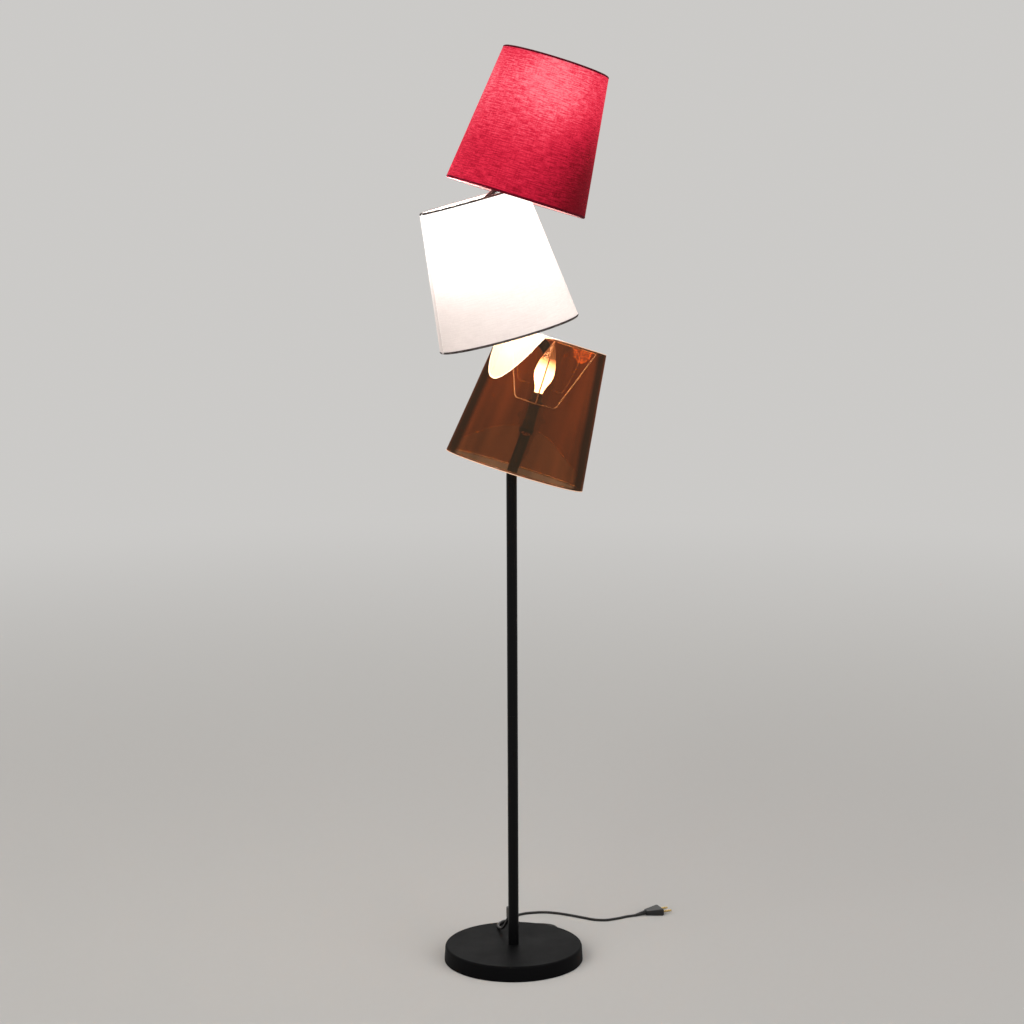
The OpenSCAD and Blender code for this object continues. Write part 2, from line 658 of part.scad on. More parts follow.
// Route of the visible stretch: out from behind the pole to the plug
end_route = [
    hank_point(loops_to), [52, 166.5, 2.6], [37, 172, 2.6], [22, 177, 2.6], [9.5, 184.5, 2.6], [2, 196, 2.6],
    [-0.5, 210, 2.6], [1.5, 225, 2.6], [9.5, 238, 2.6], [21.5, 246, 2.6], [38, 251, 2.6], [60, 253.5, 2.6],
    [86, 247, 2.6], [110, 235, 2.6], [136, 219.5, 2.6], [156, 208, 2.6], [178, 205, 2.6], [202, 215, 2.6],
    [220, 226, 2.6], [236, 232, 2.6]
];

module cord_tube(points, sides) {
    last = len(points) - 1;
    rings = [for (k = [0:last])
        let (way = unit(points[min(k + 1, last)] - points[max(k - 1, 0)]),
             x = unit(cross(way, [0, 0, 1])), y = cross(x, way))
        for (s = [0:sides - 1])
            let (turn = 360 * (s + 0.5) / sides) points[k] + cord_r * (x * cos(turn) + y * sin(turn))];
    polyhedron(rings, concat(
        [[for (s = [0:sides - 1]) s]],
        [for (k = [0:last - 1], s = [0:sides - 1]) let (n = (s + 1) % sides, b = k * sides)
            each [[b + s, b + sides + s, b + sides + n], [b + s, b + sides + n, b + n]]],
        [[for (s = [sides - 1:-1:0]) last * sides + s]]
    ));
}

module cord_start() color("#0f0f10") cord_tube(smooth(start_route, 2), 8);
module cord_hank() color("#0f0f10") cord_tube(hank_route(77), 6);
module cord_end() color("#0f0f10") cord_tube(smooth(end_route, 2), 8);

module hank_tie() color("#1c1c1e") {
    half_w = 1.5 * step + cord_r + tie_gap;
    inner_h = layer_step + cord_d + 2 * tie_gap;
    rotate(-hank_turn) translate([0, hank_ring_r, 0]) rotate([90, 0, 90]) translate([0, 0, -tie_w / 2])
        difference() {
            linear_extrude(tie_w)
                polygon(rounded_box(-half_w - tie_t, half_w + tie_t, 0, inner_h + 2 * tie_t, 3));
            translate([0, 0, -1]) linear_extrude(tie_w + 2)
                polygon(rounded_box(-half_w, half_w, tie_t, inner_h + tie_t, 2));
        }
}

// ---------------------------------------------------------------- plug
plug_at = end_route[len(end_route) - 1];
plug_turn = 21;
module plug_frame() translate([plug_at[0], plug_at[1], 0]) rotate(plug_turn) children();

plug_neck_l = 24;      // the tapered sleeve between the cord and the plug
plug_neck_r = 4.6;
plug_back = 22;        // where the plug's own body starts, in the neck
plug_l = 33;
plug_mid = 6.7;        // height of the pins and of the neck's thick end
pin_spread = 9.3;
pin_r = 2;
pin_l = 17;

module plug_disc(x, z, r) translate([x, 0, z]) rotate([0, 90, 0]) cylinder(h = 1, r = r, $fn = 24);

module plug_body() color("#101012") plug_frame() {
    hull() {
        plug_disc(face_gap, plug_at[2], cord_r + 0.1);
        plug_disc(plug_neck_l - 1, plug_mid, plug_neck_r);
    }
    translate([plug_back, 0, 0.2]) hull() {
        for (y = [-1, 1] * 5) translate([2, y, 2]) cylinder(h = 8, r = 2, $fn = 24);
        for (y = [-1, 1] * 14) translate([plug_l - 3, y, 2]) cylinder(h = 9, r = 3, $fn = 24);
        for (y = [-1, 1] * 13) translate([plug_l - 3, y, 0]) cylinder(h = 13, r = 2, $fn = 24);
    }
}

module plug_pins() color("#d0c9b0") plug_frame() for (y = [-1, 1] * pin_spread)
    translate([plug_back + plug_l + face_gap, y, plug_mid]) rotate([0, 90, 0]) {
        cylinder(h = pin_l, r = pin_r);
        translate([0, 0, pin_l]) sphere(r = pin_r);
    }

// The hank's own least gap, measured on its centreline's points
gap_points = hank_route(300);
echo(hank_gap = min([for (a = [0:300], b = [a + 12:1:300]) norm(gap_points[a] - gap_points[b])]) - cord_d);

base_cover();
base_weight();
base_pad();
base_bolt();
base_washer();
pole_foot();
pole_lower();
pole_coupler();
pole_upper();
stem();
stem_cap();
inner_cable();
bracket(LOWER);  // lower_bracket
nipple(LOWER);  // lower_nipple
lead(LOWER);  // lower_lead
holder(LOWER);  // lower_holder
contact(LOWER);  // lower_contact
ring_nut(LOWER);  // lower_ring_nut
carrier(LOWER);  // lower_carrier
top_ring(LOWER);  // lower_top_ring
bottom_ring(LOWER);  // lower_bottom_ring
shade(LOWER, "#a8693f", false);  // lower_shade
bulb_cap(LOWER);  // lower_bulb_cap
bulb_glass(LOWER);  // lower_bulb_glass
filament(LOWER);  // lower_filament
bracket(MIDDLE);  // middle_bracket
nipple(MIDDLE);  // middle_nipple
lead(MIDDLE);  // middle_lead
holder(MIDDLE);  // middle_holder
contact(MIDDLE);  // middle_contact
ring_nut(MIDDLE);  // middle_ring_nut
carrier(MIDDLE);  // middle_carrier
top_ring(MIDDLE);  // middle_top_ring
bottom_ring(MIDDLE);  // middle_bottom_ring
shade(MIDDLE, "#f2efe9", true);  // middle_shade
bulb_cap(MIDDLE);  // middle_bulb_cap
bulb_glass(MIDDLE);  // middle_bulb_glass
filament(MIDDLE);  // middle_filament
bracket(UPPER);  // upper_bracket
nipple(UPPER);  // upper_nipple
lead(UPPER);  // upper_lead
holder(UPPER);  // upper_holder
contact(UPPER);  // upper_contact
ring_nut(UPPER);  // upper_ring_nut
carrier(UPPER);  // upper_carrier
top_ring(UPPER);  // upper_top_ring
bottom_ring(UPPER);  // upper_bottom_ring
shade(UPPER, "#a01732", true);  // upper_shade
bulb_cap(UPPER);  // upper_bulb_cap
bulb_glass(UPPER);  // upper_bulb_glass
filament(UPPER);  // upper_filament
cord_gland();
cord_start();
cord_hank();
hank_tie();
cord_end();
plug_body();
plug_pins();
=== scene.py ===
"""Looks of a free-standing floor lamp with three tumbling shades.

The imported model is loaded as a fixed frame. The hard pieces keep their meshes and get their
finishes here. The cord, the three shades, the screw threads and a few rolled edges are made
here. Metres, +Z up, front towards -Y, as in the frame.
"""

from __future__ import annotations

import json
import logging
import math
from dataclasses import dataclass
from enum import Enum
from typing import Any, ClassVar, Sequence

import bpy
import numpy as np
from mathutils import Matrix, Vector

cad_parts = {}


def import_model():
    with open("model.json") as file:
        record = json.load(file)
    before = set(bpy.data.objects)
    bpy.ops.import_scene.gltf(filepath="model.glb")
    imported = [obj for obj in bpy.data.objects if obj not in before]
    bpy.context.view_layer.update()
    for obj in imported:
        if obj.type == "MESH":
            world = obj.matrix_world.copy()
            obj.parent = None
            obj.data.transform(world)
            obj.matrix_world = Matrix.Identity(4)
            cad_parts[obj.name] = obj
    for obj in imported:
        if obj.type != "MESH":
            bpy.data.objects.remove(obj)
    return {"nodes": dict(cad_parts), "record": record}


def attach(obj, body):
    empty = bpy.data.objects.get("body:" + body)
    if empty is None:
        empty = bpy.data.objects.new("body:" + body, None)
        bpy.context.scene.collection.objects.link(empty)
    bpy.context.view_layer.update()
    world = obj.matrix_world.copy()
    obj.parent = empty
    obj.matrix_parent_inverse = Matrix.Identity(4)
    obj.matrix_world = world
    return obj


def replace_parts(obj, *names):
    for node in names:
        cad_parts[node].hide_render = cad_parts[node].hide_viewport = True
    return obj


log = logging.getLogger("floor_lamp")

Colour = tuple[float, float, float]
Point = tuple[float, float, float]
Socket = bpy.types.NodeSocket
Material = bpy.types.Material
Mesh = bpy.types.Mesh
Piece = bpy.types.Object

MM = 0.001
WHITE = (1.0, 1.0, 1.0)
BLACK = (0.0, 0.0, 0.0)


# ---------------------------------------------------------------- sizes of the frame
@dataclass(frozen=True)
class LampPlace:
    """Where one lamp stands: the middle of its shade's lower rim and how its axis leans."""

    name: str
    rim_x: float
    rim_z: float
    lean_right: float
    lean_back: float
    seam_turn: float
    rim_y: float = -10 * MM

    def matrix(self) -> Matrix:
        """Places the lamp.

        Returns:
            The lamp's own frame in the row frame: x right, y back, z along the shade's axis.
        """
        tip = Matrix.Rotation(math.radians(-self.lean_back), 4, "X")
        tilt = Matrix.Rotation(math.radians(self.lean_right), 4, "Y")
        return Matrix.Translation((self.rim_x, self.rim_y, self.rim_z)) @ tip @ tilt

    def node(self, piece: str) -> str:
        """The name of one of this lamp's nodes or pieces."""
        return f"{self.name}_{piece}"


@dataclass(frozen=True)
class ShadeSizes:
    """Sizes of a shade and of what it hangs on, measured along its own axis."""

    height: float = 242 * MM
    lower_radius: float = 126 * MM
    upper_radius: float = 95 * MM
    wire_radius: float = 1.5 * MM
    wire_gap: float = 0.05 * MM
    wall: float = 0.8 * MM
    overlap: float = 12 * MM

    def radius(self, along: Any) -> Any:
        """Outer radius of the wall at a height along the axis, or at each height of an array."""
        return self.lower_radius + (self.upper_radius - self.lower_radius) * along / self.height

    def ring(self, top: bool) -> tuple[float, float]:
        """Finds a rim's wire ring, which lies against the inside of the wall.

        Args:
            top: whether it is the upper rim's.

        Returns:
            The ring's radius and its height along the axis.
        """
        along = self.height - self.wire_radius if top else self.wire_radius
        slope = math.atan((self.lower_radius - self.upper_radius) / self.height)
        inset = (self.wall + self.wire_radius + self.wire_gap) / math.cos(slope)
        return self.radius(along) - inset, along


@dataclass(frozen=True)
class BulbReach:
    """Where the bulb's glass starts and ends along the shade's axis."""

    low: float = 143.5 * MM
    high: float = 238.5 * MM
    belly: float = 0.42

    def at(self, share: float) -> float:
        """The height at a share of the glass."""
        return self.low + share * (self.high - self.low)


LOWER = LampPlace("lower", 5 * MM, 901 * MM, 17.4, 3.0, 90)
MIDDLE = LampPlace("middle", -3 * MM, 1142 * MM, -15.1, -2.6, 196)
UPPER = LampPlace("upper", 9 * MM, 1379 * MM, 17.1, 0.0, 80)
LAMPS = (LOWER, MIDDLE, UPPER)
SHADE = ShadeSizes()
BULB = BulbReach()


# ---------------------------------------------------------------- node trees
class NodeSketch:
    """A node tree, with one short call for each node."""

    family: ClassVar[str] = "ShaderNode"

    def __init__(self, tree: bpy.types.NodeTree) -> None:
        """Works on a tree, which is emptied first."""
        self.tree = tree
        self.tree.nodes.clear()

    def add(self, kind: str, inputs: dict[Any, Any] | None = None, **settings: Any) -> bpy.types.Node:
        """Adds a node.

        Args:
            kind: the node's type, which may leave out the prefix of the tree's own family.
            inputs: a value or an output socket for each named or numbered input.
            **settings: the node's own properties.

        Returns:
            The node.
        """
        node = self.tree.nodes.new(kind if "Node" in kind else self.family + kind)
        for key, value in settings.items():
            setattr(node, key, value)
        for key, value in (inputs or {}).items():
            socket = node.inputs[key]
            if isinstance(value, Socket):
                self.tree.links.new(value, socket)
            elif socket.type == "RGBA" and len(value) == 3:
                socket.default_value = (*value, 1.0)
            else:
                socket.default_value = value
        return node

    def out(self, kind: str, inputs: dict[Any, Any] | None = None, **settings: Any) -> Socket:
        """Adds a node, as add does, and returns its first output."""
        return self.add(kind, inputs, **settings).outputs[0]

    def math(self, operation: str, a: Any, b: Any = 0.0) -> Socket:
        """One sum of two numbers."""
        return self.out("ShaderNodeMath", {0: a, 1: b}, operation=operation)

    def looks_around(self) -> Socket:
        """Tells the rays that look at the surroundings.

        Returns:
            1 for a ray that comes straight to them, in a gloss or through glass.
        """
        path = self.add("LightPath").outputs
        unbent = self.math("MAXIMUM", path["Is Camera Ray"], path["Is Glossy Ray"])
        return self.math("MAXIMUM", unbent, path["Is Transmission Ray"])


class ShaderSketch(NodeSketch):
    """A material's node tree."""

    def __init__(self, name: str) -> None:
        """Starts an empty material.

        Args:
            name: the material's name.
        """
        self.material = bpy.data.materials.new(name)
        self.material.use_nodes = True
        super().__init__(self.material.node_tree)

    def finish(self, shader: Socket) -> Material:
        """Links the surface shader and returns the material."""
        self.add("OutputMaterial", {"Surface": shader})
        return self.material

    def blend(self, share: Any, a: Any, b: Any) -> Socket:
        """A colour between a and b."""
        return self.add("Mix", {"Factor": share, 6: a, 7: b}, data_type="RGBA").outputs[2]

    def mixed(self, share: Any, a: Socket, b: Socket) -> Socket:
        """A shader between a and b."""
        return self.out("MixShader", {0: share, 1: a, 2: b})

    def clear(self, colour: Any = WHITE) -> Socket:
        """A shader that lets light straight through."""
        return self.out("BsdfTransparent", {"Color": colour})

    def place(self, scale: Point = (1, 1, 1), turn: Point = (0, 0, 0)) -> Socket:
        """Object coordinates, in metres, through a mapping."""
        source = self.add("TexCoord").outputs["Object"]
        return self.out("Mapping", {0: source, "Scale": scale, "Rotation": turn})

    def noise(self, where: Socket, scale: float, detail: float, roughness: float = 0.5) -> Socket:
        """A noise between 0 and 1."""
        return self.out("TexNoise", {
            "Vector": where, "Scale": scale, "Detail": detail, "Roughness": roughness,
        })

    def cloth_noise(self, grain: tuple[float, float], detail: float, roughness: float = 0.5) -> Socket:
        """Noise on the piece's own map, which is in metres round and up the cloth.

        Args:
            grain: how many spots the noise has in a metre round the cloth and up it.
            detail: the noise's detail.
            roughness: the noise's roughness.

        Returns:
            A number between 0 and 1.
        """
        source = self.out("UVMap", uv_map="cloth")
        where = self.out("Mapping", {0: source, "Scale": (*grain, 1)})
        return self.noise(where, 1.0, detail, roughness)

    def glow(self) -> Socket:
        """How much of the bulb's light reaches this place, which the mesh carries."""
        return self.add("Attribute", attribute_name="glow").outputs["Fac"]

    def ray(self, kind: str) -> Socket:
        """1 for rays of a kind, such as Shadow."""
        return self.add("LightPath").outputs[f"Is {kind} Ray"]

    def spread(self, value: Any, low: float, high: float,
               to_low: float = 0.0, to_high: float = 1.0) -> Socket:
        """A number moved from one span to another and held inside it."""
        spans = {"From Min": low, "From Max": high, "To Min": to_low, "To Max": to_high}
        return self.out("MapRange", {"Value": value, **spans})

    def between(self, share: Any, low: float, high: float) -> Socket:
        """A number between low and high, by a share from 0 to 1."""
        return self.spread(share, 0.0, 1.0, low, high)

    def ramp(self, value: Any, stops: Sequence[tuple[float, Colour]]) -> Socket:
        """Reads a colour off a ramp.

        Args:
            value: the number that is looked up.
            stops: each colour of the ramp, after the number that it belongs to.

        Returns:
            The colour.
        """
        node = self.add("ValToRGB", {0: value})
        points = node.color_ramp.elements
        while len(points) < len(stops):
            points.new(0.5)
        for point, (at, colour) in zip(points, stops):
            point.position = at
            point.color = (*colour, 1.0)
        return node.outputs[0]

    def bump(self, height: Any, depth: float, strength: float) -> Socket:
        """A normal for a height between 0 and 1 that stands for depth metres."""
        return self.out("Bump", {"Height": height, "Distance": depth, "Strength": strength})


def dimmed(colour: Colour, share: float) -> Colour:
    """A colour at a share of its brightness."""
    return tuple(share * part for part in colour)


# ---------------------------------------------------------------- finishes
class SurfaceFinish:
    """A finish, which each kind describes by its surface shader."""

    name: str

    def surface(self, sketch: ShaderSketch) -> Socket:
        """Builds the surface.

        Args:
            sketch: the material's tree.

        Returns:
            The surface shader.
        """
        raise NotImplementedError

    def material(self) -> Material:
        """The finish as a material."""
        sketch = ShaderSketch(self.name)
        return sketch.finish(self.surface(sketch))


@dataclass(frozen=True)
class PaintedMetal(SurfaceFinish):
    """Powder coat on steel: a fine orange peel, a satin sheen that varies a little, and dust."""

    name: str
    colour: Colour
    dust: Colour
    roughness: float = 0.36
    peel_scale: float = 900.0
    peel_depth: float = 0.05 * MM
    scuffs: float = 0.3
    specular: float = 0.42
    cloud_scale: float = 14.0
    speck_scale: float = 420.0

    def surface(self, sketch: ShaderSketch) -> Socket:
        """Coats the metal and rubs it here and there.

        Args:
            sketch: the material's tree.

        Returns:
            The surface shader.
        """
        where = sketch.place()
        peel = sketch.noise(where, self.peel_scale, 2.0)
        cloud = sketch.noise(where, self.cloud_scale, 4.0, 0.6)
        specks = sketch.spread(sketch.noise(where, self.speck_scale, 2.0), 0.66, 0.78)
        rubbed = sketch.math("MULTIPLY", specks, sketch.spread(cloud, 0.45, 0.7, 0.0, self.scuffs))
        roughness = sketch.spread(cloud, 0.25, 0.75, self.roughness - 0.05, self.roughness + 0.08)
        return sketch.out("BsdfPrincipled", {
            "Base Color": sketch.blend(rubbed, self.colour, self.dust),
            "Roughness": sketch.math("ADD", roughness, sketch.math("MULTIPLY", rubbed, 0.3)),
            "Normal": sketch.bump(peel, self.peel_depth, 0.6),
            "Specular IOR Level": self.specular,
        })


@dataclass(frozen=True)
class BareMetal(SurfaceFinish):
    """Plated, cast or turned metal: grain, stains and a roughness that follows the grain."""

    name: str
    colour: Colour
    stain: Colour
    roughness: float
    metallic: float = 1.0
    grain_scale: Point = (300.0, 300.0, 300.0)
    grain_depth: float = 0.04 * MM
    stain_scale: float = 45.0

    def surface(self, sketch: ShaderSketch) -> Socket:
        """Grains and stains the metal.

        Args:
            sketch: the material's tree.

        Returns:
            The surface shader.
        """
        grain = sketch.noise(sketch.place(self.grain_scale), 1.0, 4.0, 0.6)
        stain = sketch.spread(sketch.noise(sketch.place(), self.stain_scale, 5.0, 0.65), 0.45, 0.75)
        return sketch.out("BsdfPrincipled", {
            "Base Color": sketch.blend(stain, self.colour, self.stain),
            "Metallic": self.metallic,
            "Roughness": sketch.spread(grain, 0.3, 0.7, self.roughness - 0.06, self.roughness + 0.1),
            "Normal": sketch.bump(grain, self.grain_depth, 0.5),
        })


@dataclass(frozen=True)
class MouldedPlastic(SurfaceFinish):
    """Dark moulded plastic or a cord's sheath: a fine matte texture and a slight bloom."""

    name: str
    colour: Colour
    bloom: Colour
    roughness: float
    texture_scale: float
    texture_depth: float = 0.03 * MM
    bloom_scale: float = 60.0

    def surface(self, sketch: ShaderSketch) -> Socket:
        """Textures the plastic and lays the bloom on it.

        Args:
            sketch: the material's tree.

        Returns:
            The surface shader.
        """
        where = sketch.place()
        texture = sketch.noise(where, self.texture_scale, 2.0)
        bloom = sketch.spread(sketch.noise(where, self.bloom_scale, 4.0), 0.4, 0.8)
        return sketch.out("BsdfPrincipled", {
            "Base Color": sketch.blend(bloom, self.colour, self.bloom),
            "Roughness": sketch.between(bloom, self.roughness, self.roughness + 0.12),
            "Normal": sketch.bump(texture, self.texture_depth, 0.5),
            "Specular IOR Level": 0.45,
        })


@dataclass(frozen=True)
class PressedFelt(SurfaceFinish):
    """Felt: matted fibres that lie in two directions, with a soft sheen."""

    name: str = "felt"
    colour: Colour = (0.035, 0.035, 0.036)
    fibre: Colour = (0.12, 0.12, 0.12)
    along_fibre: float = 500
    across_fibre: float = 2600
    fibre_turn: Point = (0.3, 0, 0.6)
    pile: float = 0.4 * MM

    def surface(self, sketch: ShaderSketch) -> Socket:
        """Lays two sets of fibres over each other.

        Args:
            sketch: the material's tree.

        Returns:
            The surface shader.
        """
        far, near = self.along_fibre, self.across_fibre
        long_x = sketch.noise(sketch.place((far, near, near)), 1.0, 2.0)
        long_y = sketch.noise(sketch.place((near, far, near), self.fibre_turn), 1.0, 2.0)
        matted = sketch.math("MAXIMUM", long_x, long_y)
        return sketch.out("BsdfPrincipled", {
            "Base Color": sketch.blend(sketch.spread(matted, 0.5, 0.75), self.colour, self.fibre),
            "Roughness": 0.95,
            "Normal": sketch.bump(matted, self.pile, 0.8),
            "Sheen Weight": 0.4,
        })


@dataclass(frozen=True)
class WovenShadeCloth(SurfaceFinish):
    """Shade cloth that is lit from behind: slubbed yarns, and a glow that the mesh carries.

    The glow is painted light: the ramp turns it, from 0 to 1, into the colour of the light that the yarns
    scatter.
    The grains are how many yarns lie in a metre round the cloth and up it.
    """

    name: str
    colour: Colour
    slub_colour: Colour
    glow: tuple[tuple[float, Colour], ...]
    slub: float
    scattered: Colour
    scattered_share: float = 0.2
    sheen: Colour = WHITE
    slub_grain: tuple[float, float] = (48, 520)
    weft_grain: tuple[float, float] = (170, 1150)
    warp_grain: tuple[float, float] = (480, 60)
    patch_grain: tuple[float, float] = (9, 16)
    yarn_height: float = 0.2 * MM

    def yarns(self, sketch: ShaderSketch) -> tuple[Socket, Socket]:
        """Weaves the cloth.

        Args:
            sketch: the material's tree.

        Returns:
            How thick the cloth is, from 0 to 1, and its height for the bump.
        """
        slubs = sketch.cloth_noise(self.slub_grain, 2.0, 0.65)
        finer = sketch.cloth_noise(self.weft_grain, 2.0, 0.6)
        warp = sketch.cloth_noise(self.warp_grain, 2.0, 0.6)
        weft = sketch.math("ADD", sketch.math("MULTIPLY", slubs, 0.6), sketch.math("MULTIPLY", finer, 0.4))
        both = sketch.math("ADD", weft, sketch.math("MULTIPLY", warp, 0.22))
        thick = sketch.spread(both, 0.5, 0.72)
        return thick, sketch.math("ADD", thick, sketch.math("MULTIPLY", finer, 0.6))

    def surface(self, sketch: ShaderSketch) -> Socket:
        """Lights the weave from behind.

        Args:
            sketch: the material's tree.

        Returns:
            The surface shader.
        """
        thick, height = self.yarns(sketch)
        patches = sketch.cloth_noise(self.patch_grain, 3.0)
        # Painted light: the bulb's light on the cloth, read from the mesh's glow and given out as emission.
        light = sketch.math("MULTIPLY", sketch.glow(), sketch.between(thick, 1 + self.slub, 1 - self.slub))
        light = sketch.math("MULTIPLY", light, sketch.spread(patches, 0.3, 0.7, 0.95, 1.05))
        weave = sketch.out("BsdfPrincipled", {
            "Base Color": sketch.blend(thick, self.colour, self.slub_colour),
            "Roughness": sketch.between(thick, 0.82, 0.92),
            "Normal": sketch.bump(height, self.yarn_height, 0.6),
            "Emission Color": sketch.ramp(light, self.glow),
            "Emission Strength": 1.0,
            "Sheen Weight": 0.6,
            "Sheen Roughness": 0.35,
            "Sheen Tint": self.sheen,
            "Specular IOR Level": 0.2,
        })
        scatter = sketch.out("BsdfTranslucent", {"Color": self.scattered})
        return sketch.mixed(self.scattered_share, weave, scatter)


@dataclass(frozen=True)
class TurnedEdge(SurfaceFinish):
    """The cloth of a rolled hem: doubled, so that no light comes through, and finely woven."""

    name: str
    colour: Colour
    worn: Colour
    weave_scale: float = 1400.0
    weave_depth: float = 0.15 * MM
    wear_scale: float = 70.0

    def surface(self, sketch: ShaderSketch) -> Socket:
        """Weaves the edge and wears it.

        Args:
            sketch: the material's tree.

        Returns:
            The surface shader.
        """
        weave = sketch.noise(sketch.place(), self.weave_scale, 3.0, 0.6)
        wear = sketch.noise(sketch.place(), self.wear_scale, 3.0)
        return sketch.out("BsdfPrincipled", {
            "Base Color": sketch.blend(sketch.spread(wear, 0.4, 0.7), self.colour, self.worn),
            "Roughness": sketch.spread(weave, 0.3, 0.7, 0.78, 0.92),
            "Normal": sketch.bump(weave, self.weave_depth, 0.7),
            "Specular IOR Level": 0.12,
        })


@dataclass(frozen=True)
class ShadeLiner(SurfaceFinish):
    """The stiff plastic sheet behind shade cloth, which lets the bulb's light on to the cloth.

    Its glow is painted light. It shines in_mirrors times as bright in reflections as it does straight,
    a painted reflection for the film's sake.
    """

    name: str
    colour: Colour
    glow: Colour
    in_mirrors: float
    clear_tint: Colour = (0.9, 0.88, 0.85)
    haze_grain: tuple[float, float] = (60, 60)
    fine_grain: tuple[float, float] = (1800, 1800)
    fine_depth: float = 0.03 * MM

    def surface(self, sketch: ShaderSketch) -> Socket:
        """Lights the sheet, and lets shadow rays through it.

        Args:
            sketch: the material's tree.

        Returns:
            The surface shader.
        """
        haze = sketch.cloth_noise(self.haze_grain, 3.0)
        fine = sketch.cloth_noise(self.fine_grain, 2.0)
        lit = sketch.out("BsdfPrincipled", {
            "Base Color": sketch.blend(haze, self.colour, dimmed(self.colour, 0.94)),
            "Roughness": sketch.spread(fine, 0.3, 0.7, 0.42, 0.55),
            # Painted light: the bulb's light on the sheet as emission, stronger in glossy rays as a painted
            # reflection.
            "Emission Color": sketch.blend(sketch.glow(), BLACK, self.glow),
            "Emission Strength": sketch.between(sketch.ray("Glossy"), 1.0, self.in_mirrors),
            "Normal": sketch.bump(fine, self.fine_depth, 0.4),
        })
        return sketch.mixed(sketch.ray("Shadow"), lit, sketch.clear(self.clear_tint))


@dataclass(frozen=True)
class HalfMirrorFilm(SurfaceFinish):
    """Metallised film: one face of the sheet lets light through a tint and mirrors the rest.

    A ray that comes from behind the face passes it unchanged, so that the sheet's two faces
    count once each.
    """

    name: str
    tint: Colour
    side_shade_tint: Colour
    mirror: Colour
    mirror_share: float
    grazing_share: float
    roughness: float
    glow: Colour = BLACK
    streak_grain: tuple[float, float] = (15, 2.2)
    ripple_grain: tuple[float, float] = (24, 5)
    ripple_depth: float = 0.8 * MM

    def surface(self, sketch: ShaderSketch) -> Socket:
        """Tints, streaks and ripples the film, and darkens it where it curves away.

        Args:
            sketch: the material's tree.

        Returns:
            The surface shader.
        """
        streaks = sketch.spread(sketch.cloth_noise(self.streak_grain, 2.0, 0.6), 0.36, 0.62)
        bump = sketch.bump(sketch.cloth_noise(self.ripple_grain, 0.0), self.ripple_depth, 0.3)
        facing = sketch.add("LayerWeight", {"Blend": 0.5, "Normal": bump}).outputs["Facing"]
        # Painted shade: the clear tint turns to a dark band where the film curves away from view, in place
        # of the dark reflections at its sides.
        curving, last = sketch.spread(facing, 0.44, 0.54), sketch.spread(facing, 0.7, 0.85, 1.0, 0.5)
        streaked = sketch.blend(streaks, self.tint, dimmed(self.tint, 0.5))
        clear = sketch.clear(sketch.blend(sketch.math("MULTIPLY", curving, last), streaked, self.side_shade_tint))
        gloss = sketch.out("BsdfGlossy", {"Color": self.mirror, "Roughness": self.roughness, "Normal": bump})
        fresnel = sketch.add("LayerWeight", {"Blend": 0.25}).outputs["Fresnel"]
        sheet = sketch.mixed(sketch.between(fresnel, self.mirror_share, self.grazing_share), clear, gloss)
        # Painted light: the bulb's light on the film, given out as emission from the mesh's glow.
        strength = sketch.spread(sketch.glow(), 0.1, 1.0, 0.5, 1.5)
        haze = sketch.out("Emission", {"Color": self.glow, "Strength": strength})
        hazy = sketch.out("AddShader", {0: sheet, 1: haze})
        behind = sketch.add("NewGeometry").outputs["Backfacing"]
        return sketch.mixed(behind, hazy, sketch.clear())


@dataclass(frozen=True)
class FilmEdge(SurfaceFinish):
    """The film's cut and bonded edge, which carries the light of the sheet."""

    name: str = "film_edge"
    colour: Colour = (0.85, 0.62, 0.45)
    glow: Colour = (0.42, 0.24, 0.15)
    drawn_scale: float = 90.0

    def surface(self, sketch: ShaderSketch) -> Socket:
        """Lights the edge unevenly.

        Args:
            sketch: the material's tree.

        Returns:
            The surface shader.
        """
        drawn = sketch.noise(sketch.place(), self.drawn_scale, 3.0)
        return sketch.out("BsdfPrincipled", {
            "Base Color": self.colour,
            "Roughness": sketch.spread(drawn, 0.3, 0.7, 0.18, 0.32),
            # Painted light: the edge glows with the sheet's light, unevenly along it.
            "Emission Color": sketch.blend(drawn, self.glow, dimmed(self.glow, 0.5)),
            "Emission Strength": 1.0,
        })


